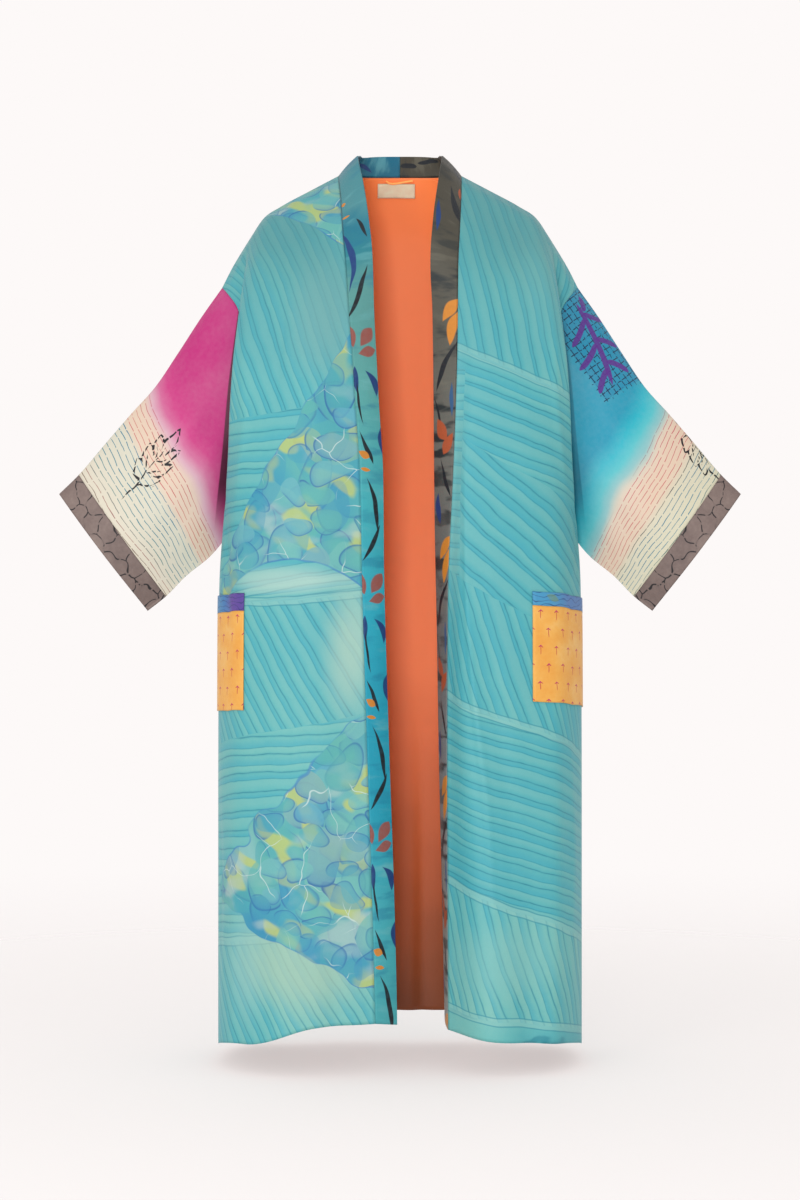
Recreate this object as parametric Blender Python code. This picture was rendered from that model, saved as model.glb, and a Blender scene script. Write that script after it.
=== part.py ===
"""An open kimono robe of painted silk, filled out as it is worn, with no wearer.

Metres, +Z up, the front faces -Y and the wearer's left is +X. The origin is the middle of the neck
opening, level with the shoulder seams. Every wall is a loft between unlike plan sections: its outer
face is a smooth surface through the sections, and its inner face is moved in by the cloth's thickness.
"""

import bpy
import numpy as np

# Cloth thicknesses, the seam gap and the widths of the sewn-on pieces.
PANEL = 0.0012
LINING = 0.0010
BAND = 0.0022
CUFF = 0.0016
POCKET = 0.0010
TRIM = 0.0012
LABEL = 0.0010
LOOP_RADIUS = 0.0013
GAP = 0.0003
LAID_ON = 0.0008
ON_LINING = 0.0011
BAND_WIDTH = 0.038
BAND_CAMBER = 0.0012

# How far into the back and into a front the panel's way is taken, where the band is mitred to it.
BAND_REACH_DOWN = 0.01
BAND_REACH_ACROSS = 0.05

# A mitre slides a wall's inner edge no further than this, nor along a slope flatter than this.
MITRE_MOST = 2 * BAND
MITRE_LEAST_SLOPE = 0.2

RIGHT, LEFT = -1, 1
SIDES = ((RIGHT, "right"), (LEFT, "left"))

# Down is 0 on the shoulder seam and 1 at the hem. The underarm point lies at this share of the way.
UNDERARM = 0.215

# The back's neck edge ends at this share across, on the neck point.
NECK_POINT = 0.30

# The lining starts this far down at the centre back and on the shoulders, and is square at the last.
LINING_START = 0.0025
LINING_SHOULDER_START = 0.0130
LINING_START_WIDENS = (0.14, NECK_POINT)
LINING_SQUARE = 0.03

# The step that the slopes of the back are measured over.
SLOPE_STEP = 0.002

# The sleeve leaves the armhole's shape by this share of its length.
SLEEVE_FREE = 0.3
# How square the sleeve's section is near its upper fold, and how thin near its lower one.
SLEEVE_UPPER_FULLNESS = 0.75
SLEEVE_LOWER_FULLNESS = 1.2

# A drape's depth grows with this power of the way down from its start.
DRAPE_GROWTH = 1.5

# Rows of a pocket lie about this far apart.
PATCH_ROW = 0.03

# The label: its ends across, how far down its upper corners lie, and its depth in shares of the way.
LABEL_ENDS = (-0.0980, 0.0650)
LABEL_TOPS = (0.0098, 0.0058)
LABEL_DEPTH = 0.0150

# Share of the way across a half panel of each plan point that the tables below give.
FRONT_KNOTS = np.array([0.0, 0.21, 0.417, 0.623, 0.70, 0.772, 0.88, 1.0])
BACK_KNOTS = np.array([0.0, 0.143, 0.238, 0.30, 0.42, 0.56, 0.71, 0.77, 0.82, 0.90, 1.0])

# Heights of those plan points on the shoulder seam and at the hem.
RIDGE_Z = (0.0, -0.0205, -0.041, -0.0615, -0.0775, -0.0975, -0.1235, -0.151)
NECK_Z = (0.0065, 0.005, 0.002)
FRONT_HEM_Z = {
    RIGHT: (-1.1225, -1.127, -1.1493, -1.155, -1.160, -1.165, -1.169, -1.1705),
    LEFT: (-1.1355, -1.1434, -1.149, -1.155, -1.160, -1.165, -1.169, -1.1705),
}
BACK_HEM_Z = (-1.145, -1.146, -1.147, -1.149, -1.153, -1.159, -1.164, -1.166, -1.168, -1.1695, -1.1705)

# Columns: down, then out from the middle and fore of the band seam and of the front's crown.
FRONT_INNER = {
    RIGHT: np.array([
        (0.000, 0.0830, 0.000, 0.122, 0.0000),
        (0.010, 0.0825, 0.020, 0.122, 0.0205),
        (0.030, 0.0799, 0.040, 0.121, 0.0410),
        (0.070, 0.0767, 0.073, 0.119, 0.0745),
        (0.120, 0.0716, 0.097, 0.118, 0.1010),
        (0.170, 0.0676, 0.109, 0.117, 0.1150),
        (0.215, 0.0633, 0.115, 0.117, 0.1220),
        (0.280, 0.0586, 0.119, 0.116, 0.1280),
        (0.360, 0.0525, 0.122, 0.116, 0.1320),
        (0.500, 0.0491, 0.126, 0.118, 0.1360),
        (0.700, 0.0423, 0.128, 0.116, 0.1400),
        (0.850, 0.0365, 0.130, 0.115, 0.1430),
        (1.000, 0.0322, 0.132, 0.114, 0.1460),
    ]),
    LEFT: np.array([
        (0.000, 0.0830, 0.000, 0.122, 0.0000),
        (0.010, 0.0828, 0.020, 0.122, 0.0205),
        (0.030, 0.0820, 0.040, 0.121, 0.0410),
        (0.070, 0.0795, 0.073, 0.119, 0.0745),
        (0.120, 0.0765, 0.097, 0.118, 0.1010),
        (0.170, 0.0757, 0.108, 0.116, 0.1150),
        (0.215, 0.0750, 0.113, 0.110, 0.1220),
        (0.280, 0.0728, 0.115, 0.102, 0.1280),
        (0.360, 0.0692, 0.114, 0.096, 0.1320),
        (0.500, 0.0625, 0.109, 0.095, 0.1360),
        (0.700, 0.0615, 0.105, 0.101, 0.1410),
        (0.850, 0.0622, 0.102, 0.111, 0.1440),
        (1.000, 0.0628, 0.100, 0.115, 0.1470),
    ]),
}

# Columns: down, then out and fore of the breast, the turn, the fold's edge, its hook and its valley.
# Down to the elbow the front is turned under along the edge, and its armhole seam lies behind it.
FRONT_OUTER = np.array([
    (0.000, 0.160, 0.000, 0.1875, 0.0000, 0.1980, 0.0000, 0.2105, 0.0000, 0.2260, 0.0000),
    (0.010, 0.160, 0.020, 0.1885, 0.0195, 0.2000, 0.0190, 0.2105, 0.0180, 0.2215, 0.0170),
    (0.030, 0.160, 0.040, 0.1920, 0.0380, 0.2030, 0.0340, 0.2065, 0.0295, 0.2105, 0.028),
    (0.070, 0.160, 0.072, 0.1980, 0.0660, 0.2085, 0.0580, 0.2020, 0.0510, 0.1920, 0.0465),
    (0.120, 0.163, 0.096, 0.2050, 0.0850, 0.2145, 0.0755, 0.2060, 0.0690, 0.1900, 0.066),
    (0.170, 0.166, 0.107, 0.2115, 0.0910, 0.2205, 0.0800, 0.2110, 0.0700, 0.1830, 0.062),
    (0.215, 0.169, 0.112, 0.2150, 0.0910, 0.2242, 0.0780, 0.2160, 0.0650, 0.1820, 0.052),
    (0.280, 0.172, 0.116, 0.2185, 0.0830, 0.2280, 0.0640, 0.2245, 0.0490, 0.2050, 0.035),
    (0.360, 0.177, 0.117, 0.2220, 0.0780, 0.2340, 0.0500, 0.2365, 0.0320, 0.2315, 0.014),
    (0.420, 0.181, 0.116, 0.2240, 0.0790, 0.2375, 0.0530, 0.2415, 0.0300, 0.2415, 0.006),
    (0.500, 0.184, 0.117, 0.2250, 0.0810, 0.2385, 0.0540, 0.2425, 0.0300, 0.2435, 0.006),
    (0.700, 0.184, 0.121, 0.2260, 0.0840, 0.2390, 0.0560, 0.2430, 0.0310, 0.2440, 0.006),
    (1.000, 0.184, 0.126, 0.2270, 0.0870, 0.2395, 0.0580, 0.2430, 0.0320, 0.2440, 0.006),
])

# Columns: down, then out and back of the centre, the nape, the neck's corner and the neck point.
BACK_INNER = np.array([
    (0.000, 0.0, 0.055, 0.045, 0.046, 0.070, 0.024, 0.0830, 0.000),
    (0.010, 0.0, 0.060, 0.045, 0.053, 0.070, 0.036, 0.0835, 0.020),
    (0.030, 0.0, 0.070, 0.045, 0.065, 0.070, 0.052, 0.0860, 0.041),
    (0.070, 0.0, 0.086, 0.045, 0.084, 0.072, 0.078, 0.0900, 0.073),
    (0.120, 0.0, 0.098, 0.045, 0.098, 0.073, 0.096, 0.0930, 0.093),
    (0.170, 0.0, 0.106, 0.045, 0.107, 0.074, 0.106, 0.0950, 0.104),
    (0.215, 0.0, 0.110, 0.045, 0.111, 0.075, 0.110, 0.0960, 0.108),
    (0.280, 0.0, 0.112, 0.045, 0.113, 0.075, 0.112, 0.0960, 0.110),
    (0.360, 0.0, 0.110, 0.045, 0.112, 0.076, 0.111, 0.0970, 0.109),
    (0.500, 0.0, 0.108, 0.045, 0.110, 0.076, 0.109, 0.0980, 0.107),
    (0.700, 0.0, 0.115, 0.045, 0.116, 0.076, 0.115, 0.0980, 0.113),
    (1.000, 0.0, 0.126, 0.045, 0.126, 0.076, 0.124, 0.0980, 0.121),
])

# Columns: down, then out and back of the shoulder, the blade, the turn, the edge, hook and valley.
BACK_OUTER = np.array([
    (0.000, 0.122, 0.000, 0.160, 0.000, 0.1875, 0.0000, 0.1980, 0.0000, 0.2105, 0.0000, 0.2260, 0.0000),
    (0.010, 0.122, 0.019, 0.160, 0.018, 0.1885, 0.0175, 0.2000, 0.0170, 0.2105, 0.0165, 0.2215, 0.0160),
    (0.030, 0.123, 0.038, 0.160, 0.036, 0.1920, 0.0340, 0.2030, 0.0310, 0.2065, 0.0280, 0.2105, 0.0270),
    (0.070, 0.126, 0.069, 0.163, 0.066, 0.1980, 0.0610, 0.2075, 0.0555, 0.2020, 0.0495, 0.1920, 0.0460),
    (0.120, 0.129, 0.089, 0.167, 0.085, 0.2050, 0.0830, 0.2145, 0.0765, 0.2060, 0.0690, 0.1900, 0.0660),
    (0.170, 0.131, 0.100, 0.171, 0.094, 0.2105, 0.0870, 0.2195, 0.0790, 0.2110, 0.0700, 0.1830, 0.0620),
    (0.215, 0.133, 0.104, 0.174, 0.096, 0.2145, 0.0860, 0.2235, 0.0770, 0.2160, 0.0650, 0.1820, 0.0520),
    (0.280, 0.134, 0.106, 0.176, 0.097, 0.2180, 0.0790, 0.2275, 0.0650, 0.2245, 0.0510, 0.2050, 0.0390),
    (0.360, 0.135, 0.105, 0.179, 0.095, 0.2230, 0.0730, 0.2340, 0.0560, 0.2365, 0.0420, 0.2315, 0.0290),
    (0.420, 0.136, 0.104, 0.182, 0.094, 0.2260, 0.0710, 0.2380, 0.0530, 0.2415, 0.0410, 0.2415, 0.0290),
    (0.500, 0.137, 0.104, 0.185, 0.094, 0.2275, 0.0720, 0.2390, 0.0550, 0.2425, 0.0430, 0.2435, 0.0320),
    (0.700, 0.138, 0.109, 0.188, 0.098, 0.2290, 0.0740, 0.2395, 0.0570, 0.2430, 0.0440, 0.2440, 0.0320),
    (1.000, 0.139, 0.115, 0.190, 0.102, 0.2295, 0.0770, 0.2400, 0.0590, 0.2430, 0.0450, 0.2440, 0.0325),
])

# Columns: down, out, and how far the armhole seam lies before or behind the shoulder line.
ARMHOLE = np.array([
    (0.000, 0.2400, 0.0000),
    (0.010, 0.2315, 0.0165),
    (0.030, 0.2175, 0.0300),
    (0.070, 0.2050, 0.0410),
    (0.120, 0.1820, 0.0520),
    (0.170, 0.1720, 0.0330),
    (0.215, 0.1650, 0.0000),
])

# Columns: down, out, back of the side seam under the arm.
SIDE_SEAM = np.array([
    (0.215, 0.1650, 0.000),
    (0.280, 0.1850, 0.005),
    (0.360, 0.2150, 0.010),
    (0.420, 0.2345, 0.015),
    (0.500, 0.2425, 0.020),
    (0.700, 0.2430, 0.020),
    (1.000, 0.2430, 0.020),
])

# Soft drapes that grow towards the hem. Columns: across, half width across, depth at the hem, start.
FRONT_DRAPES = {
    RIGHT: ((0.13, 0.05, -0.0040, 0.55), (0.33, 0.07, 0.0050, 0.40), (0.53, 0.05, -0.0035, 0.60)),
    LEFT: ((0.36, 0.05, -0.0050, 0.45), (0.50, 0.06, 0.0040, 0.40)),
}
BACK_DRAPES = (
    (-0.62, 0.09, 0.0070, 0.30),
    (-0.42, 0.07, -0.0060, 0.40),
    (-0.20, 0.09, 0.0080, 0.30),
    (0.04, 0.08, -0.0070, 0.35),
    (0.27, 0.09, 0.0080, 0.28),
    (0.50, 0.07, -0.0060, 0.42),
    (0.66, 0.06, 0.0050, 0.35),
)

# Way that the band stands from its seam. Columns: down, then towards the middle, back and up.
BAND_WAY = {
    RIGHT: np.array([
        (0.000, 0.67, -0.28, 0.69),
        (0.030, 0.78, -0.30, 0.55),
        (0.070, 0.90, -0.12, 0.38),
        (0.120, 0.90, 0.25, 0.20),
        (0.170, 0.86, 0.45, 0.08),
        (0.215, 0.83, 0.54, 0.00),
        (0.360, 0.80, 0.60, 0.00),
        (0.500, 0.76, 0.65, 0.00),
        (0.930, 0.76, 0.65, 0.00),
        (1.000, 0.76, 0.65, -0.14),
    ]),
    LEFT: np.array([
        (0.000, 0.67, -0.28, 0.69),
        (0.030, 0.80, -0.30, 0.52),
        (0.070, 0.93, -0.15, 0.33),
        (0.120, 0.95, 0.20, 0.18),
        (0.170, 0.87, 0.48, 0.06),
        (0.215, 0.83, 0.55, 0.00),
        (0.360, 0.64, 0.77, 0.00),
        (0.500, 0.39, 0.92, 0.00),
        (0.700, 0.26, 0.965, 0.00),
        (0.930, 0.13, 0.99, 0.00),
        (1.000, 0.10, 0.98, 0.25),
    ]),
}

# The same round the back of the neck. Columns: across, then towards the middle, back and up.
NECK_BAND_WAY = np.array([
    (0.000, 0.00, 0.56, 0.83),
    (0.143, 0.20, 0.53, 0.82),
    (0.238, 0.43, 0.36, 0.81),
    (0.300, 0.67, -0.28, 0.69),
])

# The sleeve's upper and lower fold lines. Columns: share of the sleeve, out, height.
SLEEVE_TOP = np.array([
    (0.00, 0.2400, -0.1510),
    (0.16, 0.2687, -0.1917),
    (0.34, 0.2997, -0.2396),
    (0.52, 0.3308, -0.2862),
    (0.67, 0.3618, -0.3213),
    (0.82, 0.3929, -0.3578),
    (1.00, 0.4317, -0.4040),
    (1.12, 0.4580, -0.4300),
])
SLEEVE_BOTTOM = np.array([
    (0.00, 0.1650, -0.3702),
    (0.30, 0.2030, -0.4360),
    (0.59, 0.2411, -0.4968),
    (0.685, 0.2565, -0.5144),
    (0.846, 0.2876, -0.5400),
    (1.00, 0.3146, -0.5675),
    (1.12, 0.3390, -0.5870),
])

# Half the sleeve's thickness and the fore of its middle. Columns: share of the sleeve, half, fore.
SLEEVE_SECTIONS = np.array([
    (0.00, 0.050, 0.000),
    (0.30, 0.044, 0.001),
    (0.60, 0.036, 0.006),
    (1.00, 0.027, 0.014),
    (1.12, 0.025, 0.016),
])

# Rows and columns of the solids. The armhole's rows also place the points round the sleeve.
ARMHOLE_ROWS = (0.0, 0.01, 0.02, 0.03, 0.05, 0.07, 0.095, 0.12, 0.145, 0.17, 0.193, UNDERARM)
SIDE_ROWS = (0.247, 0.28, 0.32, 0.36, 0.39, 0.42, 0.46, 0.50, 0.58, 0.66, 0.75, 0.84, 0.92, 1.0)
PANEL_ROWS = ARMHOLE_ROWS + SIDE_ROWS
FRONT_COLUMNS = (
    0.0, 0.08, 0.15, 0.21, 0.30, 0.417, 0.53, 0.60, 0.65, 0.69, 0.73, 0.772, 0.83, 0.89, 0.95, 1.0,
)
BACK_HALF_COLUMNS = (
    0.08, 0.16, 0.24, 0.30, 0.38, 0.47, 0.56, 0.64, 0.70, 0.74, 0.78, 0.82, 0.87, 0.935, 1.0,
)
SLEEVE_STATIONS = (0.0, 0.05, 0.12, 0.22, 0.34, 0.48, 0.62, 0.76, 0.89, 1.0)
NECK_STATIONS = (0.0, 0.05, 0.10, 0.15, 0.20, 0.24, 0.275)

# Pockets. Columns: side, first and last share across, then heights of the opening, the seam between
# trim and bag, and the foot, each at the pocket's inner edge, and how far its outer edge hangs lower.
POCKETS = (
    (RIGHT, 0.505, 0.985, -0.5640, -0.5870, -0.7170, 0.0060),
    (LEFT, 0.385, 0.865, -0.5610, -0.5790, -0.7045, 0.0120),
)

COLOURS = {
    "front": (0.20, 0.55, 0.55),
    "back": (0.20, 0.55, 0.55),
    "back_lining": (0.84, 0.20, 0.07),
    "band_right": (0.07, 0.36, 0.42),
    "band_left": (0.15, 0.14, 0.12),
    "sleeve_right": (0.69, 0.07, 0.28),
    "sleeve_left": (0.03, 0.33, 0.48),
    "cuff": (0.25, 0.19, 0.17),
    "pocket": (0.87, 0.42, 0.06),
    "pocket_trim": (0.06, 0.16, 0.50),
    "neck_label": (0.80, 0.74, 0.62),
    "hanging_loop": (0.84, 0.20, 0.07),
}


def spans(knots, at):
    """The stretch between knots that each place lies in, and the four Hermite weights there."""
    first = np.clip(np.searchsorted(knots, at, side="right") - 1, 0, len(knots) - 2)
    step = knots[first + 1] - knots[first]
    t = (at - knots[first]) / step
    start = 2 * t**3 - 3 * t**2 + 1
    leave = (t**3 - 2 * t**2 + t) * step
    arrive = (t**3 - t**2) * step
    return first, start, leave, 1 - start, arrive


def down_curve(table, at):
    """The table's values at each place, along curves that never overshoot a row."""
    knots = table[:, 0]
    values = table[:, 1:]
    rise = np.diff(values, axis=0) / np.diff(knots)[:, None]
    product = rise[:-1] * rise[1:]
    total = np.where(product > 0, rise[:-1] + rise[1:], 1)
    middle = np.where(product > 0, 2 * product / total, 0)
    slopes = np.vstack([rise[:1], middle, rise[-1:]])
    first, start, leave, end, arrive = spans(knots, at)
    start, leave, end, arrive = (part[:, None] for part in (start, leave, end, arrive))
    return (start * values[first] + leave * slopes[first]
            + end * values[first + 1] + arrive * slopes[first + 1])


def across_curve(knots, controls, at):
    """Points on the rounded curves through each row of controls, one place along each."""
    slopes = np.gradient(controls, knots, axis=1)
    row = np.arange(len(at))
    first, start, leave, end, arrive = spans(knots, at)
    start, leave, end, arrive = (part[:, None] for part in (start, leave, end, arrive))
    return (start * controls[row, first] + leave * slopes[row, first]
            + end * controls[row, first + 1] + arrive * slopes[row, first + 1])


def seam_points(down, way):
    """Out and y of the armhole seam and, under the arm, of the side seam. Way is -1 for the front."""
    armhole = down_curve(ARMHOLE, np.minimum(down, UNDERARM)) * (1, way)
    side = down_curve(SIDE_SEAM, np.maximum(down, UNDERARM))
    return np.where((down <= UNDERARM)[:, None], armhole, side)


def drape(drapes, across, down):
    """How far the soft folds move the cloth out."""
    total = np.zeros(len(across))
    for centre, half_width, depth, start in drapes:
        grown = np.clip((down - start) / (1 - start), 0, 1)
        total += depth * grown**DRAPE_GROWTH * np.exp(-(((across - centre) / half_width) ** 2))
    return total


def heights(top, hem, down):
    return np.asarray(top) + down[:, None] * (np.asarray(hem) - np.asarray(top))


def front_surface(side, across, down):
    """Outer points of one front, across from the band seam to the side and down from the shoulder."""
    plan = np.hstack([down_curve(FRONT_INNER[side], down), down_curve(FRONT_OUTER, down)])
    plan = plan.reshape(len(down), -1, 2) * (1, -1)
    plan = np.concatenate([plan, seam_points(down, -1)[:, None]], axis=1)
    z = heights(RIDGE_Z, FRONT_HEM_Z[side], down)
    points = across_curve(FRONT_KNOTS, np.dstack([plan, z]), across)
    points[:, 1] -= drape(FRONT_DRAPES[side], across, down)
    points[:, 0] *= side
    return points


def back_surface(across, down):
    """Outer points of the back, across from -1 at the right side seam to 1 at the left one."""
    plan = np.hstack([down_curve(BACK_INNER, down), down_curve(BACK_OUTER, down)])
    plan = plan.reshape(len(down), -1, 2)
    plan = np.concatenate([plan, seam_points(down, 1)[:, None]], axis=1)
    z = heights(NECK_Z + RIDGE_Z, BACK_HEM_Z, down)
    controls = np.dstack([plan, z])
    mirrored = controls[:, 1:2] * (-1, 1, 1)
    knots = np.concatenate([-BACK_KNOTS[1:2], BACK_KNOTS])
    points = across_curve(knots, np.concatenate([mirrored, controls], axis=1), np.abs(across))
    points[:, 1] += drape(BACK_DRAPES, across, down)
    points[:, 0] *= np.where(across < 0, -1, 1)
    return points


def grid(surface, columns, rows):
    """The surface's points, one row of the array for each of the rows down."""
    down, across = np.meshgrid(rows, columns, indexing="ij")
    points = surface(across.ravel(), down.ravel())
    return points.reshape(len(rows), len(columns), 3)


def unit(vectors):
    return vectors / np.linalg.norm(vectors, axis=-1, keepdims=True)


def normals_of(points, ring=False):
    """Unit normals of a grid of points: down crossed with across."""
    down = np.gradient(points, axis=0)
    if ring:
        across = np.roll(points, -1, axis=1) - np.roll(points, 1, axis=1)
    else:
        across = np.gradient(points, axis=1)
    return unit(np.cross(down, across))


def mitred(points, inner, into, plane):
    """Inner edge points slid along the cloth until they lie in the plane that halves the seam."""
    beyond = np.sum((inner - points) * plane, axis=-1, keepdims=True)
    slope = np.sum(into * plane, axis=-1, keepdims=True)
    slope = np.where(np.abs(slope) < MITRE_LEAST_SLOPE, MITRE_LEAST_SLOPE, slope)
    return inner - into * np.clip(beyond / slope, -MITRE_MOST, MITRE_MOST)


def material(name, colour):
    finish = bpy.data.materials.new(name)
    finish.use_nodes = True
    shader = finish.node_tree.nodes["Principled BSDF"]
    shader.inputs["Base Color"].default_value = (*colour, 1)
    shader.inputs["Roughness"].default_value = 0.55
    shader.inputs["Metallic"].default_value = 0.0
    return finish


def add_piece(name, mesh_or_curve, colour):
    piece = bpy.data.objects.new(name, mesh_or_curve)
    mesh_or_curve.materials.append(material(name, colour))
    robe.objects.link(piece)
    return piece


def wall(name, outer, inner, colour, ring=False):
    """A closed cloth wall between two grids of points, open or closed into a ring across."""
    rows, columns = outer.shape[:2]
    steps = columns if ring else columns - 1
    outside = np.arange(rows * columns).reshape(rows, columns)
    inside = outside + rows * columns
    faces = []
    for row in range(rows - 1):
        for column in range(steps):
            beside = (column + 1) % columns
            corners = (row, column), (row + 1, column), (row + 1, beside), (row, beside)
            faces.append([int(outside[corner]) for corner in corners])
            faces.append([int(inside[corners[place]]) for place in (0, 3, 2, 1)])
    border = []
    for column in range(steps):
        beside = (column + 1) % columns
        border.append(((0, column), (0, beside)))
        border.append(((rows - 1, beside), (rows - 1, column)))
    for row in range(rows - 1) if not ring else ():
        border.append(((row + 1, 0), (row, 0)))
        border.append(((row, columns - 1), (row + 1, columns - 1)))
    for start, end in border:
        faces.append([int(outside[start]), int(outside[end]), int(inside[end]), int(inside[start])])
    mesh = bpy.data.meshes.new(name)
    points = np.concatenate([outer.reshape(-1, 3), inner.reshape(-1, 3)])
    mesh.from_pydata(points.tolist(), [], faces)
    face_out(mesh)
    mesh.shade_smooth()
    mesh.set_sharp_from_angle(angle=np.radians(50))
    return add_piece(name, mesh, colour)


def face_out(mesh):
    """Turns all faces round if they enclose a negative volume."""
    mesh.calc_loop_triangles()
    corners = np.array([triangle.vertices[:] for triangle in mesh.loop_triangles])
    points = np.array([vertex.co[:] for vertex in mesh.vertices])
    if np.linalg.det(points[corners]).sum() < 0:
        mesh.flip_normals()


def trimmed(surface, columns, rows):
    """The surface's grid, with its two side edges drawn in by half a seam gap."""
    points = grid(surface, columns, rows)
    points[:, 0] += unit(points[:, 1] - points[:, 0]) * GAP / 2
    points[:, -1] += unit(points[:, -2] - points[:, -1]) * GAP / 2
    return points


def front(side, name):
    """One front: a long panel, mitred at the shoulder seam and at the band seam."""
    outer = trimmed(lambda across, down: front_surface(side, across, down), FRONT_COLUMNS, PANEL_ROWS)
    outer[0, :, 1] = -GAP / 2
    inner = outer - PANEL * normals_of(outer) * side
    into = unit(outer[:, 1] - outer[:, 0])
    plane = unit(band_ways(side, np.array(PANEL_ROWS)) - into)
    inner[:, 0] = mitred(outer[:, 0], inner[:, 0], into, plane)
    into = unit(outer[1] - outer[0])
    inner[0] = mitred(outer[0], inner[0], into, np.array([0.0, 1.0, 0.0]))
    inner[0, :, 1] = -GAP / 2
    wall(name, outer, inner, COLOURS["front"])


def back_grid():
    """The back's outer points, the unit normals that point in from them, and the columns."""
    columns = np.array([-c for c in reversed(BACK_HALF_COLUMNS)] + [0.0] + list(BACK_HALF_COLUMNS))
    outer = trimmed(back_surface, columns, PANEL_ROWS)
    outer[0, np.abs(columns) >= NECK_POINT, 1] = GAP / 2
    return outer, normals_of(outer), columns


def back():
    """The back in one piece, mitred at both shoulder seams and at the neck band."""
    outer, inward, columns = back_grid()
    inner = outer + PANEL * inward
    into = unit(outer[1] - outer[0])
    shoulder = np.abs(columns) >= NECK_POINT
    neck = ~shoulder
    ways = neck_band_ways(columns[neck])
    inner[0, neck] = mitred(outer[0, neck], inner[0, neck], into[neck], unit(ways - into[neck]))
    level = np.array([0.0, -1.0, 0.0])
    inner[0, shoulder] = mitred(outer[0, shoulder], inner[0, shoulder], into[shoulder], level)
    inner[0, shoulder, 1] = GAP / 2
    wall("back", outer, inner, COLOURS["back"])


def back_lining():
    """The lining lies inside the back, made from its points. It starts at the neck seam and, beside
    the neck, a little below the shoulder seams."""
    outer, inward, columns = back_grid()
    start = np.interp(np.abs(columns), LINING_START_WIDENS, (LINING_START, LINING_SHOULDER_START))
    rows = np.array(PANEL_ROWS)
    laid = [[], []]
    for layer, depth in zip(laid, (PANEL + ON_LINING, PANEL + ON_LINING + LINING)):
        deeper = outer + depth * inward
        for column in range(1, len(columns) - 1):
            down = rows + start[column] * np.maximum(0, 1 - rows / LINING_SQUARE)
            layer.append([np.interp(down, rows, deeper[:, column, axis]) for axis in range(3)])
    near, far = (np.array(layer).transpose(2, 0, 1) for layer in laid)
    wall("back_lining", near, far, COLOURS["back_lining"])


def inside_back(across, down, depth):
    """Points that lie deeper than the back's outer face, by a depth measured square to it."""
    middle = back_surface(across, down)
    beside = back_surface(across + SLOPE_STEP, down) - back_surface(across - SLOPE_STEP, down)
    below = back_surface(across, down + SLOPE_STEP) - back_surface(across, down - SLOPE_STEP)
    return middle + depth * unit(np.cross(below, beside))


def band_ways(side, down):
    return unit(down_curve(BAND_WAY[side], down)) * (-side, 1, 1)


def neck_band_ways(across):
    """Way that the band stands round the back of the neck, at each share across the back."""
    ways = unit(down_curve(NECK_BAND_WAY, np.abs(across)))
    return ways * np.stack([-np.sign(across), np.ones(len(across)), np.ones(len(across))], axis=1)


def band(side, name):
    """Half of the band: from the centre back round the neck and down the front edge."""
    neck = np.array(NECK_STATIONS) * side
    neck_edge = np.zeros(len(neck))
    front_rows = np.array(PANEL_ROWS)
    front_edge = np.zeros(len(front_rows))
    seam = np.vstack([back_surface(neck, neck_edge), front_surface(side, front_edge, front_rows)])
    whole_seam = seam.copy()
    seam[0, 0] = side * GAP / 2
    ways = np.vstack([neck_band_ways(neck), band_ways(side, front_rows)])
    ways[0, 0] = 0.0
    along = unit(np.gradient(seam, axis=0))
    outward = unit(np.cross(along, ways)) * -side
    share = np.array([1.5 * GAP / BAND_WIDTH, 0.5, 1.0])
    reach = (share * BAND_WIDTH)[None, :, None]
    rise = (BAND_CAMBER * np.sin(np.pi * share))[None, :, None]
    outer = seam[:, None] + reach * ways[:, None] + rise * outward[:, None]
    inner = outer - BAND * outward[:, None]
    into_back = back_surface(neck, neck_edge + BAND_REACH_DOWN)
    into_front = front_surface(side, front_edge + BAND_REACH_ACROSS, front_rows)
    panel_way = unit(np.vstack([into_back, into_front]) - whole_seam)
    inner[:, 0] = mitred(outer[:, 0], inner[:, 0], ways, unit(panel_way - ways))
    wall(name, outer, inner, COLOURS[name])


def sleeve_surface(side, way, ring, along):
    """Points of the sleeve: ring is 0 on its upper fold and 1 on its lower one, way is -1 on the
    front half, and along is 0 at the armhole, 1 at the cuff seam and more in the cuff."""
    top = down_curve(SLEEVE_TOP, along)
    bottom = down_curve(SLEEVE_BOTTOM, along)
    half, fore = down_curve(SLEEVE_SECTIONS, along).T
    armhole_out, armhole_depth = down_curve(ARMHOLE, ring * UNDERARM).T
    straight_out = SLEEVE_TOP[0, 1] + ring * (SLEEVE_BOTTOM[0, 1] - SLEEVE_TOP[0, 1])
    blend = np.clip(along / SLEEVE_FREE, 0, 1)
    blend = blend**2 * (3 - 2 * blend)
    middle = top + ring[:, None] * (bottom - top)
    out = middle[:, 0] + (1 - blend) * (armhole_out - straight_out)
    bulge = np.maximum(np.sin(np.pi * ring), 0)
    profile = bulge ** np.where(ring < 0.5, SLEEVE_UPPER_FULLNESS, SLEEVE_LOWER_FULLNESS)
    depth = (1 - blend) * armhole_depth + blend * half * profile
    return np.stack([side * out, way * depth - fore, middle[:, 1]], axis=1)


def sleeve_rings(side, stations):
    """Closed rings of points, down the front half from the upper fold and up the back half."""
    shares = np.array(ARMHOLE_ROWS) / UNDERARM
    rings = []
    for station in stations:
        along = np.full(len(shares), station)
        before = sleeve_surface(side, -1, shares, along)
        behind = sleeve_surface(side, 1, shares, along)[-2:0:-1]
        rings.append(np.vstack([before, behind]))
    return np.array(rings)


def sleeve(side, name):
    outer = sleeve_rings(side, SLEEVE_STATIONS)
    outer[0] += unit(outer[1] - outer[0]) * 1.5 * GAP
    inner = outer - PANEL * normals_of(outer, ring=True) * -side
    wall(name, outer, inner, COLOURS[name], ring=True)


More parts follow.
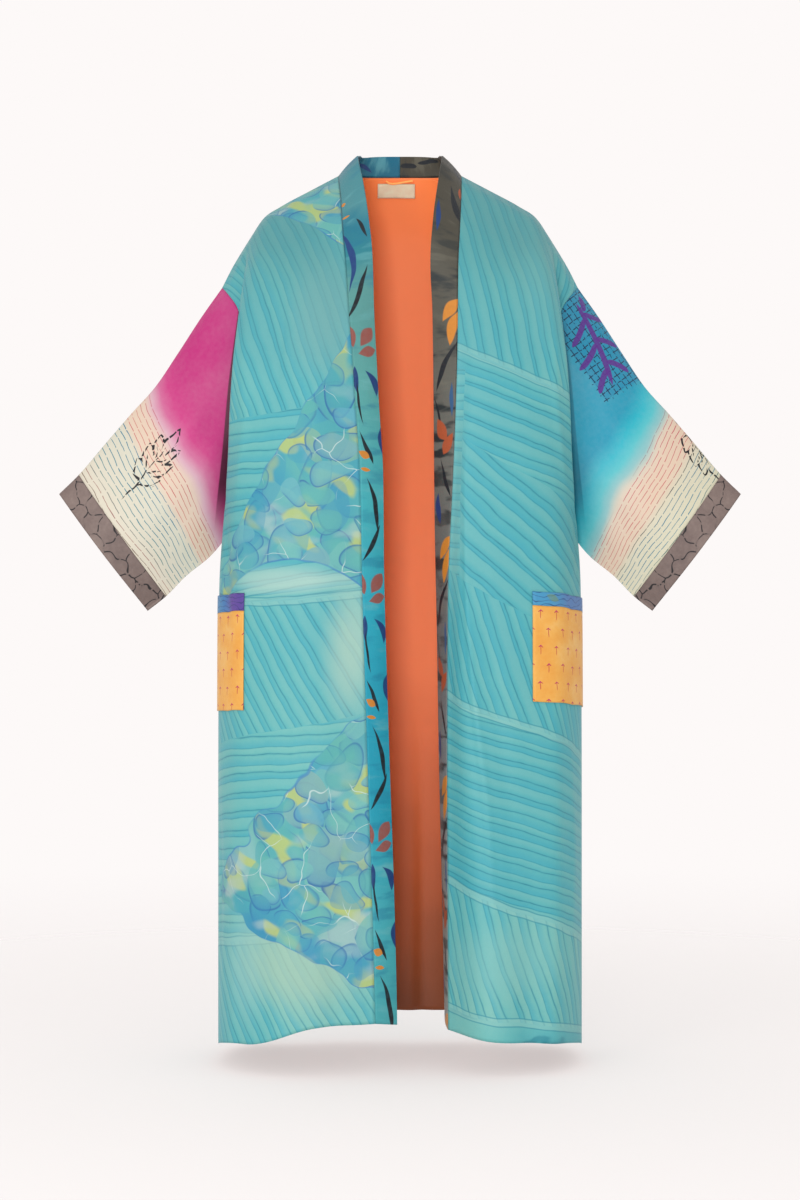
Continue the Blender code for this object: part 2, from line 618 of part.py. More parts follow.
def cuff(side, name):
    """A turned-up band of cloth round the sleeve's end."""
    outer = sleeve_rings(side, (1.0, 1.06, 1.12))
    outer[0] += unit(outer[1] - outer[0]) * GAP
    inner = outer - CUFF * normals_of(outer, ring=True) * -side
    wall(name, outer, inner, COLOURS["cuff"], ring=True)


def front_down(side, across, z):
    """Share of the way down at which the front reaches each height."""
    count = len(across)
    tops = np.repeat(np.array(RIDGE_Z)[None, :, None], count, axis=0)
    hems = np.repeat(np.array(FRONT_HEM_Z[side])[None, :, None], count, axis=0)
    top = across_curve(FRONT_KNOTS, tops, across)[:, 0]
    hem = across_curve(FRONT_KNOTS, hems, across)[:, 0]
    return (z - top) / (hem - top)


def front_patch(side, name, first, last, top, foot, lower, thickness, colour):
    """A piece sewn flat on a front, between two heights, from its points moved out."""
    columns = np.array([first] + [c for c in FRONT_COLUMNS if first + 0.01 < c < last - 0.01] + [last])
    share = (columns - first) / (last - first)
    rows = []
    for z in np.linspace(top, foot, 2 + round((top - foot) / PATCH_ROW)):
        rows.append(front_surface(side, columns, front_down(side, columns, z - lower * share)))
    base = np.array(rows)
    outward = normals_of(base) * side
    wall(name, base + (LAID_ON + thickness) * outward, base + LAID_ON * outward, colour)


def pockets():
    names = dict(SIDES)
    for side, first, last, opening, seam, foot, lower in POCKETS:
        bag = f"pocket_{names[side]}"
        trim = f"pocket_trim_{names[side]}"
        front_patch(side, bag, first, last, seam - GAP, foot, lower, POCKET, COLOURS["pocket"])
        front_patch(side, trim, first, last, opening, seam, lower, TRIM, COLOURS["pocket_trim"])


def neck_label():
    """A bare woven label on the lining, under the neck seam, a little askew."""
    columns = np.linspace(*LABEL_ENDS, 5)
    depth = PANEL + ON_LINING + LINING + ON_LINING
    near = []
    far = []
    for share in (0.0, 0.5, 1.0):
        down = np.interp(columns, LABEL_ENDS, LABEL_TOPS) + LABEL_DEPTH * share
        near.append(inside_back(columns, down, depth + LABEL))
        far.append(inside_back(columns, down, depth))
    wall("neck_label", np.array(near), np.array(far), COLOURS["neck_label"])


def hanging_loop():
    """A thin cloth cord that hangs from the neck seam over the lining."""
    # Columns: share across, share down.
    route = np.array([
        (-0.0620, 0.0024),
        (-0.0480, 0.0048),
        (-0.0330, 0.0056),
        (-0.0090, 0.0050),
        (0.0220, 0.0036),
        (0.0560, 0.0022),
    ])
    depth = PANEL + ON_LINING + LINING + LAID_ON + LOOP_RADIUS
    curve = bpy.data.curves.new("hanging_loop", "CURVE")
    curve.dimensions = "3D"
    curve.bevel_depth = LOOP_RADIUS
    curve.bevel_resolution = 1
    curve.use_fill_caps = True
    spline = curve.splines.new("POLY")
    spline.points.add(len(route) - 1)
    for point, place in zip(spline.points, inside_back(route[:, 0], route[:, 1], depth)):
        point.co = (*place, 1)
    add_piece("hanging_loop", curve, COLOURS["hanging_loop"])


for old in list(bpy.data.objects):
    bpy.data.objects.remove(old)
robe = bpy.data.collections.new("kimono_robe")
bpy.context.scene.collection.children.link(robe)

for side, side_name in SIDES:
    front(side, f"front_{side_name}")
    band(side, f"band_{side_name}")
    sleeve(side, f"sleeve_{side_name}")
    cuff(side, f"cuff_{side_name}")
back()
back_lining()
pockets()
neck_label()
hanging_loop()
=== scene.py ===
from functools import partialmethod, reduce

import bpy
import numpy as np
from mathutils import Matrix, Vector


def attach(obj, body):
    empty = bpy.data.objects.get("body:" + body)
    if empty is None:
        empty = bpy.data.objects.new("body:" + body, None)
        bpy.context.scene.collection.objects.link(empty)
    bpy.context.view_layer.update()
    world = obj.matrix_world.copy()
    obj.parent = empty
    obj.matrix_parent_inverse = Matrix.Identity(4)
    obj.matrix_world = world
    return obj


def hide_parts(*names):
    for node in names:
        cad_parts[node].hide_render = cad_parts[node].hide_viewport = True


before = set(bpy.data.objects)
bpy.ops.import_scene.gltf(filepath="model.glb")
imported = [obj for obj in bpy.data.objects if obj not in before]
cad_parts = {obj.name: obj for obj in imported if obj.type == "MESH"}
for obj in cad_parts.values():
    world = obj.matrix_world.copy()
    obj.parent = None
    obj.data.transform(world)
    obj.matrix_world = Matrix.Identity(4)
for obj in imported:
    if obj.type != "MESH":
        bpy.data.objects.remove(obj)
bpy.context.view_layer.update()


# The camera stands square to the robe's open front, 3.4 metres off and level with the middle of its
# length. At the robe its upright frame takes in 1.08 by 1.62 metres.
def placed(name, data):
    """A new object in the scene."""
    piece = bpy.data.objects.new(name, data)
    bpy.context.scene.collection.objects.link(piece)
    return piece


CAMERA_AWAY = 3.4
CAMERA_HEIGHT = -0.5724
FRAME_HEIGHT = 1.62
camera = placed("camera", bpy.data.cameras.new("camera"))
camera.data.sensor_width = 36
camera.data.lens = camera.data.sensor_width * CAMERA_AWAY / FRAME_HEIGHT
camera.location = (0, -CAMERA_AWAY, CAMERA_HEIGHT)
camera.rotation_euler = (np.pi / 2, 0, 0)
bpy.context.scene.camera = camera
bpy.context.scene.view_settings.view_transform = "Standard"


# The two fronts. Each is one length of painted crepe silk from the shoulder seam to the hem, backed
# with the orange lining. It hangs from the shoulder over the chest, turns under along the arm, and its
# print is blocks of pale wax-resist stripes, which on the wearer's right part round beds of petals.
RIGHT, LEFT = -1, 1
SIDE_NAMES = {RIGHT: "right", LEFT: "left"}
SILK = 0.0011
UNDERARM = 0.215
FRONT_KNOTS = np.array([0, 0.21, 0.417, 0.623, 0.7, 0.772, 0.88, 1])
RIDGE_Z = (0, -0.0205, -0.041, -0.0615, -0.0775, -0.0975, -0.1235, -0.151)
FRONT_HEM_Z = {
    RIGHT: (-1.1225, -1.127, -1.1493, -1.155, -1.16, -1.165, -1.169, -1.1705),
    LEFT: (-1.1355, -1.1434, -1.149, -1.155, -1.16, -1.165, -1.169, -1.1705),
}


def table(*columns):
    """A table's rows from its columns, which are in thousandths."""
    return np.array(columns).T / 1000


# Down, then out from the middle and fore of the band seam and of the front's crown.
FRONT_INNER = {
    RIGHT: table(
        (0, 10, 30, 70, 120, 170, 215, 280, 360, 500, 700, 850, 1000),
        (83, 82.5, 79.9, 76.7, 71.6, 67.6, 63.3, 58.6, 52.5, 49.1, 42.3, 36.5, 32.2),
        (0, 20, 40, 73, 97, 109, 115, 119, 122, 126, 128, 130, 132),
        (122, 122, 121, 119, 118, 117, 117, 116, 116, 118, 116, 115, 114),
        (0, 20.5, 41, 74.5, 101, 115, 122, 128, 132, 136, 140, 143, 146),
    ),
    LEFT: table(
        (0, 10, 30, 70, 120, 170, 215, 280, 360, 500, 700, 850, 1000),
        (83, 82.8, 82, 79.5, 76.5, 75.7, 75, 72.8, 69.2, 62.5, 61.5, 62.2, 62.8),
        (0, 20, 40, 73, 97, 108, 113, 115, 114, 109, 105, 102, 100),
        (122, 122, 121, 119, 118, 116, 110, 102, 96, 95, 101, 111, 115),
        (0, 20.5, 41, 74.5, 101, 115, 122, 128, 132, 136, 141, 144, 147),
    ),
}

# Down, then out and fore of the breast, the turn, the fold's edge, its hook and its valley. The first
# column and those two's ways out are the back's too.
OUTER_DOWN = (0, 10, 30, 70, 120, 170, 215, 280, 360, 420, 500, 700, 1000)
HOOK_OUT = (210.5, 210.5, 206.5, 202, 206, 211, 216, 224.5, 236.5, 241.5, 242.5, 243, 243)
VALLEY_OUT = (226, 221.5, 210.5, 192, 190, 183, 182, 205, 231.5, 241.5, 243.5, 244, 244)
FRONT_OUTER = table(
    OUTER_DOWN,
    (160, 160, 160, 160, 163, 166, 169, 172, 177, 181, 184, 184, 184),
    (0, 20, 40, 72, 96, 107, 112, 116, 117, 116, 117, 121, 126),
    (187.5, 188.5, 192, 198, 205, 211.5, 215, 218.5, 222, 224, 225, 226, 227),
    (0, 19.5, 38, 66, 85, 91, 91, 83, 78, 79, 81, 84, 87),
    (198, 200, 203, 208.5, 214.5, 220.5, 224.2, 228, 234, 237.5, 238.5, 239, 239.5),
    (0, 19, 34, 58, 75.5, 80, 78, 64, 50, 53, 54, 56, 58),
    HOOK_OUT,
    (0, 18, 29.5, 51, 69, 70, 65, 49, 32, 30, 30, 31, 32),
    VALLEY_OUT,
    (0, 17, 28, 46.5, 66, 62, 52, 35, 14, 6, 6, 6, 6),
)

# Down, out, and how far the armhole seam lies before or behind the shoulder line.
ARMHOLE = table(
    (0, 10, 30, 70, 120, 170, 215),
    (240, 231.5, 217.5, 205, 182, 172, 165),
    (0, 16.5, 30, 41, 52, 33, 0),
)

# Down, out and back of the side seam under the arm.
SIDE_SEAM = table(
    (215, 280, 360, 420, 500, 700, 1000),
    (165, 185, 215, 234.5, 242.5, 243, 243),
    (0, 5, 10, 15, 20, 20, 20),
)

# Drapes that grow towards the hem: across, half width across, depth at the hem, and start.
DRAPE_GROWTH = 1.5
FRONT_DRAPES = {
    RIGHT: ((0.13, 0.05, -0.004, 0.55), (0.33, 0.07, 0.005, 0.4), (0.53, 0.05, -0.0035, 0.6)),
    LEFT: ((0.36, 0.05, -0.005, 0.45), (0.5, 0.06, 0.004, 0.4)),
}

# Soft creases over those, in thousandths: depth out, half width, and places down and across on the way.
FRONT_CREASES = {
    RIGHT: (
        (-1.6, 20, 50, 400, 160, 360, 300, 400),
        (1.4, 30, 100, 620, 260, 550, 420, 620),
        (-1.8, 22, 260, 800, 380, 660, 560, 600),
        (1.6, 25, 440, 220, 620, 260, 900, 240),
        (-1.4, 20, 620, 720, 800, 680, 990, 700),
    ),
    LEFT: (
        (3.4, 17, 260, 130, 500, 180, 720, 240, 990, 240),
        (-2.4, 30, 300, 190, 500, 250, 720, 310, 990, 310),
        (1.4, 30, 80, 600, 240, 560, 400, 640),
        (-1.8, 22, 260, 820, 360, 700, 500, 660),
        (1.6, 30, 560, 600, 760, 640, 990, 620),
    ),
}


def hermite(knots, values, slopes, at, row=()):
    """Points at each place on the curve through the knots' values with these slopes there."""
    first = np.clip(np.searchsorted(knots, at, side="right") - 1, 0, len(knots) - 2)
    step = knots[first + 1] - knots[first]
    t = (at - knots[first]) / step
    start = 2 * t**3 - 3 * t**2 + 1
    weights = (start, (t**3 - 2 * t**2 + t) * step, 1 - start, (t**3 - t**2) * step)
    start, leave, end, arrive = (weight[:, None] for weight in weights)
    here, there = (*row, first), (*row, first + 1)
    return start * values[here] + leave * slopes[here] + end * values[there] + arrive * slopes[there]


def down_curve(rows, at):
    """A table's values at each place down it, along curves that never overshoot a row."""
    knots, values = rows[:, 0], rows[:, 1:]
    rise = np.diff(values, axis=0) / np.diff(knots)[:, None]
    product = rise[:-1] * rise[1:]
    total = np.where(product > 0, rise[:-1] + rise[1:], 1)
    middle = np.where(product > 0, 2 * product / total, 0)
    return hermite(knots, values, np.vstack([rise[:1], middle, rise[-1:]]), at)


def across_curve(knots, controls, at):
    """Points on the rounded curves through each row of controls, one place along each."""
    return hermite(knots, controls, np.gradient(controls, knots, axis=1), at, (np.arange(len(at)),))


def seam_points(down, way):
    """Out and y of the armhole seam and, under the arm, of the side seam. Way is -1 for the front."""
    armhole = down_curve(ARMHOLE, np.minimum(down, UNDERARM)) * (1, way)
    side = down_curve(SIDE_SEAM, np.maximum(down, UNDERARM))
    return np.where((down <= UNDERARM)[:, None], armhole, side)


def drape(drapes, across, down):
    """How far the long folds move the cloth out."""
    total = np.zeros(len(across))
    for centre, half_width, depth, start in drapes:
        grown = np.clip((down - start) / (1 - start), 0, 1)
        total += depth * grown**DRAPE_GROWTH * np.exp(-(((across - centre) / half_width) ** 2))
    return total


def creased(creases, across, down):
    """How far the soft creases move the cloth out: each fades in and out along its way."""
    total = np.zeros(np.shape(across))
    for crease in creases:
        depth, half_width, *way = np.array(crease) / 1000
        downs, acrosses = way[::2], way[1::2]
        share = np.clip((down - downs[0]) / (downs[-1] - downs[0]), 0, 1)
        beside = across - np.interp(down, downs, acrosses)
        total += depth * np.sin(np.pi * share) ** 2 * np.exp(-((beside / half_width) ** 2))
    return total


def heights(top, hem, down):
    """Heights between those of the top and those of the hem, for each place down."""
    return np.asarray(top) + down[:, None] * (np.asarray(hem) - np.asarray(top))


def front_surface(side, across, down):
    """Outer points of one front, across from the band seam to the side and down from the shoulder."""
    plan = np.hstack([down_curve(FRONT_INNER[side], down), down_curve(FRONT_OUTER, down)])
    plan = plan.reshape(len(down), -1, 2) * (1, -1)
    plan = np.concatenate([plan, seam_points(down, -1)[:, None]], axis=1)
    z = heights(RIDGE_Z, FRONT_HEM_Z[side], down)
    points = across_curve(FRONT_KNOTS, np.dstack([plan, z]), across)
    points[:, 1] -= drape(FRONT_DRAPES[side], across, down)
    points[:, 0] *= side
    return points


def unit(vectors):
    """The vectors' directions, each of length 1."""
    return vectors / np.linalg.norm(vectors, axis=-1, keepdims=True)


def normals_of(points):
    """Unit normals of a grid of points: down crossed with across."""
    return unit(np.cross(np.gradient(points, axis=0), np.gradient(points, axis=1)))


def lengths(points, axis):
    """How far each point of a grid lies from the first one, along the cloth."""
    steps = np.linalg.norm(np.diff(points, axis=axis), axis=2)
    return np.insert(np.cumsum(steps, axis=axis), 0, 0, axis=axis)


def flat_lengths(points):
    """A grid's flat places: how far each point lies across it and down it."""
    return np.dstack([lengths(points, 1), lengths(points, 0)])


def smoothed(values, reach):
    """A grid's values averaged with those up to a number of rows above and below."""
    padded = np.pad(values, ((reach, reach), (0, 0)), mode="reflect", reflect_type="odd")
    total = np.insert(np.cumsum(padded, axis=0), 0, 0, axis=0)
    window = 2 * reach + 1
    return (total[window:] - total[:len(values)]) / window


STEADY_ROWS = 10


def hanging_flat(points, across):
    """Flat places of a length that hangs from the shoulder: across it, and down from the ridge. The
    drop is the height itself and, row by row, the cloth's usual way over the shoulder."""
    over = lengths(points, 0) - points[:1, :, 2] + points[..., 2]
    return np.dstack([smoothed(across, STEADY_ROWS), over.mean(axis=1)[:, None] - points[..., 2]])


def cloth(name, points, flat, faces_out, thickness, finishes, ring=False, thin=None):
    """A cloth over a grid of points, with its flat places in metres as its UVs. In a ring the flat
    grid has one column more than the points, for the far edge of the cut. Thin is each point's share
    of the thickness."""
    rows, columns = points.shape[:2]
    steps = columns if ring else columns - 1
    place = np.arange(rows * columns).reshape(rows, columns)
    here = place[:, :steps]
    beside = np.roll(place, -1, axis=1)[:, :steps]
    corners = [here[:-1], here[1:], beside[1:], beside[:-1]]
    at = [flat[:-1, :steps], flat[1:, :steps], flat[1:, 1:steps + 1], flat[:-1, 1:steps + 1]]
    if not faces_out:
        corners.reverse()
        at.reverse()
    mesh = bpy.data.meshes.new(name)
    mesh.from_pydata(points.reshape(-1, 3).tolist(), [], np.stack(corners, axis=-1).reshape(-1, 4).tolist())
    mesh.uv_layers.new(name="cut").data.foreach_set("uv", np.stack(at, axis=-2).ravel())
    mesh.shade_smooth()
    for finish in finishes:
        mesh.materials.append(finish)
    piece = placed(name, mesh)
    wall = piece.modifiers.new("thickness", "SOLIDIFY")
    wall.thickness = thickness
    wall.offset = -1
    wall.material_offset = len(finishes) - 1
    if thin is not None:
        group = piece.vertex_groups.new(name="thickness")
        for index, share in enumerate(thin.ravel()):
            group.add([index], share, "REPLACE")
        wall.vertex_group = "thickness"
    return piece


class Paint:
    """A socket in a cloth's material. Arithmetic on it adds Math nodes, and add() any other node."""

    def __init__(self, tree, socket=None):
        self.tree = tree
        self.socket = socket

    def add(self, kind, settings=None, sockets=None, output=0):
        """A node of a kind: its settings first, then the values or links of its sockets."""
        node = self.tree.nodes.new("ShaderNode" + kind)
        for name, value in (settings or {}).items():
            if name == "stops":
                set_stops(node.color_ramp.elements, value)
            else:
                setattr(node, name, value)
        for name, value in (sockets or {}).items():
            if isinstance(value, Paint):
                self.tree.links.new(value.socket, node.inputs[name])
            else:
                node.inputs[name].default_value = value
        return Paint(self.tree, node.outputs[output] if node.outputs else None)

    def math(self, operation, *others):
        """A Math node on this value and others."""
        return self.add("Math", {"operation": operation}, dict(enumerate((self, *others))))

    def vector(self, operation, *others, output=0):
        """A Vector Math node on this place and others."""
        return self.add("VectorMath", {"operation": operation}, dict(enumerate((self, *others))), output)

    __add__ = __radd__ = partialmethod(math, "ADD")
    __sub__ = partialmethod(math, "SUBTRACT")
    __mul__ = __rmul__ = partialmethod(math, "MULTIPLY")
    __truediv__ = partialmethod(math, "DIVIDE")
    __abs__ = partialmethod(math, "ABSOLUTE")
    least = partialmethod(math, "MINIMUM")
    most = partialmethod(math, "MAXIMUM")

    def __rsub__(self, other):
        return self.add("Math", {"operation": "SUBTRACT"}, {0: other, 1: self})

    def step(self, low, high):
        """Rises smoothly from 0 at low to 1 at high, or the other way round."""
        ranges = {"Value": self, "From Min": low, "From Max": high}
        return self.add("MapRange", {"interpolation_type": "SMOOTHSTEP"}, ranges)

    def parted(self):
        """The whole number below a value, and the rest of it."""
        whole = self.math("FLOOR")
        return whole, self - whole

    def chance(self):
        """A random share for each whole number."""
        return self.add("TexWhiteNoise", {"noise_dimensions": "1D"}, {"W": self + 0.5})

    def noise(self, scale, detail=1, output=0):
        """Cloudy noise over a flat place, about 0.5."""
        sockets = {"Vector": self, "Scale": scale, "Detail": detail}
        return self.add("TexNoise", {"noise_dimensions": "2D"}, sockets, output)

    def shaken(self, scale, reach, detail=1):
        """A flat place moved by cloudy noise, up to a reach."""
        return self.noise(scale, detail, 1).vector("MULTIPLY_ADD", (reach, reach, 0), self)

    def edges(self, scale, randomness=1):
        """How far a flat place lies from the edges of a random pattern of cells."""
        cells = {"voronoi_dimensions": "2D", "feature": "DISTANCE_TO_EDGE"}
        return self.add("TexVoronoi", cells, {"Vector": self, "Scale": scale, "Randomness": randomness})

    def broken(self, pitch, gap=0.07):
        """1 along the dashes of a broken line, 0 in its gaps."""
        return self.edges(1 / pitch).step(gap, gap + 0.05)

    def under(self, *layers):
        """This colour with others laid over it, each followed by its mask, which is 1 where it covers."""
        laid = self
        for colour, mask in zip(layers[::2], layers[1::2]):
            colour = colour if isinstance(colour, Paint) else dye(*colour)
            laid = self.add("Mix", {"data_type": "RGBA"}, {0: mask, 6: laid, 7: colour}, 2)
        return laid

    def ramp(self, *stops):
        """A colour for each height of a value: each stop is its height and its dye."""
        return self.add("ValToRGB", {"stops": stops}, {0: self})

    def other(self, output):
        """Another output of this socket's node."""
        return Paint(self.tree, self.socket.node.outputs[output])

    def split(self):
        """The two lengths of a flat place."""
        parts = self.add("SeparateXYZ", None, {0: self})
        return parts, parts.other(1)

    def seen_from(self, middle, size=(1, 1), turn=0):
        """A flat place measured from a mark's middle, along it and across it, in its own sizes."""
        return self.add("Mapping", {"vector_type": "TEXTURE"}, {
            "Vector": self, "Location": (*middle, 0), "Rotation": (0, 0, np.radians(turn)),
            "Scale": (*size, 1),
        })

    def daub(self, out, down, half_length, half_width, turn=0, bend=0, taper=0, blunt=False):
        """The cover of one brush mark, from its middle and its size in thousandths, and its way."""
        middle, size = (out / 1000, down / 1000), (half_length / 1000, half_width / 1000)
        along, beside = self.seen_from(middle, size, turn).split()
        square = along * along
        end = square * square * square if blunt else square
        half = (1 - end) * (1 + taper * along).most(0)
        return (half - abs(beside - bend * square)).step(0, 0.25)


def dye(red, green, blue, light=1.55):
    """A colour as the photograph's 0 to 255 numbers, made linear, and weaker by the light that falls
    on the cloth: the studio's is brighter than white."""
    share = np.array([red, green, blue]) / 255
    linear = np.where(share > 0.04045, ((share + 0.055) / 1.055) ** 2.4, share / 12.92)
    return (*(linear / light), 1)


def set_stops(elements, stops):
    """Gives a new colour ramp its stops."""
    for _ in stops[2:]:
        elements.new(0.5)
    for element, (position, *colour) in zip(elements, stops):
        element.position = position
        element.color = dye(*colour)


def new_finish(name, *noises):
    """An empty material, the flat place on the cloth, as a vector and as its two lengths, and noises
    over it, each from its scale and detail."""
    finish = bpy.data.materials.new(name)
    finish.use_nodes = True
    finish.node_tree.nodes.clear()
    place = Paint(finish.node_tree).add("UVMap", {"uv_map": "cut"})
    return finish, place, *place.split(), *(place.noise(*each) for each in noises)


SLUBS_ALONG = (60, 900, 0)


def woven(finish, colour, place, pitch, depth, relief, roughness, sheen, gloss=0.28):
    """The cloth's shader: its colour, its plain weave of threads, with thicker slubs here and there,
    over the rest of its relief, and how it shines."""
    warp, weft = ((each * (np.pi / pitch)).math("SINE") for each in place.split())
    slubs = place.vector("MULTIPLY", SLUBS_ALONG).noise(1)
    weave = warp * warp + weft * weft * (0.6 + 0.8 * slubs)
    height = weave * depth + relief
    normal = colour.add("Bump", None, {"Strength": 1, "Distance": 1, "Height": height})
    shader = colour.add("BsdfPrincipled", None, {
        "Base Color": colour, "Roughness": roughness, "Normal": normal,
        "Specular IOR Level": gloss, "Sheen Weight": sheen, "Sheen Roughness": 0.4,
    })
    colour.add("OutputMaterial", None, {"Surface": shader})
    return finish


# The lining is plain orange acetate satin. A painted shade darkens it towards the hem, for the shade
# inside the robe, and its dyes are reckoned with less light than the silks', a painted lightening.
finish, place, across, down, cloudy = new_finish("orange_lining", (7, 2))
colour = (down * 0.83 + (cloudy - 0.5) * 0.1).ramp(
    (0, 240, 128, 70, 0.9), (0.55, 246, 132, 78, 0.9), (0.66, 226, 116, 66, 0.9),
    (0.8, 192, 96, 52, 0.94), (0.93, 128, 64, 30, 0.94), (1, 96, 46, 20, 0.94),
)
lining = woven(finish, colour, place, 0.0003, 0.00002, cloudy * 0.0004, 0.42, 0.05)


def petals(place, cloudy):
    """A bed of soft round petals in watercolour on silk: teal and blue with deep rims on one side,
    patches of yellow-green and of cream haze, and thin branching lines left white."""
    colour = place.noise(8, 2).ramp(
        (0.28, 60, 152, 186), (0.44, 74, 172, 186), (0.56, 100, 184, 178), (0.72, 136, 196, 194),
    )
    haze = place.seen_from((0.3, 0.1), (0.085, 0.05), 12).noise(1, 2)
    lime = place.seen_from((0.7, 0.5), (0.06, 0.035), -28).noise(1, 1)
    for layer, (scale, size, turn, shift) in enumerate((
        (13, 0.5, 30, 0.31), (17, 0.46, -40, 0.77), (15, 0.46, 70, 0.13), (22, 0.44, -12, 0.59),
    )):
        bent = place.shaken(9 + 9 * shift, 0.04).seen_from((shift, shift * 0.7), (1.25, 0.82), turn)
        cell = place.add("TexVoronoi", {"voronoi_dimensions": "2D"},
                         {"Vector": bent, "Scale": scale, "Randomness": 0.75})
        chance = cell.other(1)
        lean = chance.vector("SUBTRACT", (0.5, 0.5, 0.5))
        offset = bent.vector("SUBTRACT", cell.other(2))
        shore = offset.vector("DOT_PRODUCT", lean, output=1) * (scale * 3) + 0.5
        pick, show = chance.split()
        reach = size * (0.72 + 0.4 * pick)
        inside = cell.step(reach, reach - 0.03)
        fill = show.ramp(
            (0, 54, 140, 192), (0.3, 66, 168, 186), (0.55, 90, 182, 174),
            (0.78, 122, 194, 188), (0.9, 82, 166, 200), (1, 184, 204, 122),
        )
        deep = cell.step(reach * 0.35, reach) * shore.step(0.1, 1)
        fill = fill.under((44, 124, 186), deep * (0.35 + 0.5 * cloudy))
        line = cell.step(reach - 0.075, reach - 0.02) * shore.step(0.3, 0.62)
        colour = colour.under(
            fill, inside * (0.35 + 0.5 * show),
            (36, 104, 164), line * inside * (0.4 + 0.5 * pick),
        )
        # The lime and the haze lie under the last two layers of petals.
        if layer == 1:
            colour = colour.under(
                (190, 206, 112), lime.step(0.57, 0.68) * 0.8,
                (180, 206, 202), haze.step(0.54, 0.7) * 0.62,
            )
    apart = place.shaken(14, 0.05, 2).edges(19)
    kept = place.noise(13).step(0.48, 0.58)
    return colour.under((206, 230, 226), apart.step(0.014, 0.004) * kept * 0.75)


def painted_silk(name, blocks, beds, washes_and_shades):
    """Crepe silk with blocks of wax-resist stripes and, inside the beds, painted petals."""
    finish, place, across, down, cloudy, fine = new_finish(name, (5, 3), (140, 2))
    wander, shake, tremble = (place.noise(scale) - 0.5 for scale in (4.5, 26, 90))
    count, pale, borders = None, None, []
    for start, rise, bend, turn, pitch, light, edged, *upto in blocks:
        way = np.radians(turn)
        crossing = down * (np.cos(way) / pitch) - across * (np.sin(way) / pitch)
        if count is None:
            count, pale = crossing, light
            continue
        past = down - across * rise - across * across * bend - start + wander * 0.02 + shake * 0.004
        beyond = past.step(-0.0003, 0.0003)
        for limit in upto:
            beyond = beyond * (across + shake * 0.004 - limit).step(0.0003, -0.0003)
        count = count + beyond * (crossing - count)
        pale = pale + beyond * (light - pale)
        if edged:
            borders.append(abs(past))
    border = reduce(Paint.least, borders)
    stripe, share = (count + wander * 1.1 + shake * 0.16 + tremble * 0.03).parted()
    chance = stripe.chance()
    gap = 0.22 + 0.42 * chance + wander * 0.3
    first_line = share.least(1 - share)
    strength = 0.3 + 0.55 * place.seen_from((0, 0), (0.012, 0.05), 20).noise(1)
    colour = (cloudy * 0.6 + fine * 0.1 + chance * 0.16 + pale * 0.5 - 0.18).ramp(
        (0.15, 74, 176, 188), (0.38, 88, 184, 190), (0.58, 108, 192, 190),
        (0.78, 132, 200, 190), (0.95, 160, 208, 194),
    ).under(
        (60, 172, 192), share.step(0, gap) * share.step(gap + 0.01, gap) * 0.62,
        (140, 202, 194), share.step(gap, gap + 0.08) * share.step(0.95, 0.6) * 0.3,
        (66, 166, 182), first_line.step(0.14, 0) * 0.42,
        (36, 134, 152), first_line.step(0.05, 0.018) * strength,
        (40, 140, 158), abs(share - gap).step(0.04, 0.014) * strength * 0.8,
        (142, 204, 198), border.step(0.0062, 0.005) * 0.55,
        (50, 148, 164), abs(border - 0.0056).step(0.0013, 0.0004) * 0.7,
    )
    # Most washes are dye washes; the last in each print is a painted shade over the shoulders.
    for middle, size, wash_and_shade, cover in washes_and_shades:
        away = place.seen_from(middle, size).vector("LENGTH", output=1)
        colour = colour.under(wash_and_shade, (away + wander * 0.7).step(1, 0.1) * cover)
    if beds:
        lobes = place.noise(17) - 0.5
        inside = reduce(Paint.most, [
            (down - across * top_rise - top + lobes * 0.05).least(
                across * foot_rise + across * across * foot_bend + foot - down
                + shake * 0.006 + lobes * ragged
            )
            for top, top_rise, foot, foot_rise, foot_bend, ragged in beds
        ])
        rim = abs(inside).step(0.0018, 0.0006) * (0.2 + 0.8 * place.noise(13).step(0.4, 0.65))
        colour = colour.under(
            petals(place, cloudy), inside.step(-0.0008, 0.0008), (58, 130, 190), rim * 0.7,
        )
    return woven(finish, colour, place, 0.0004, 0.00003, fine * 0.0002 + cloudy * 0.0006, 0.5, 0.06)
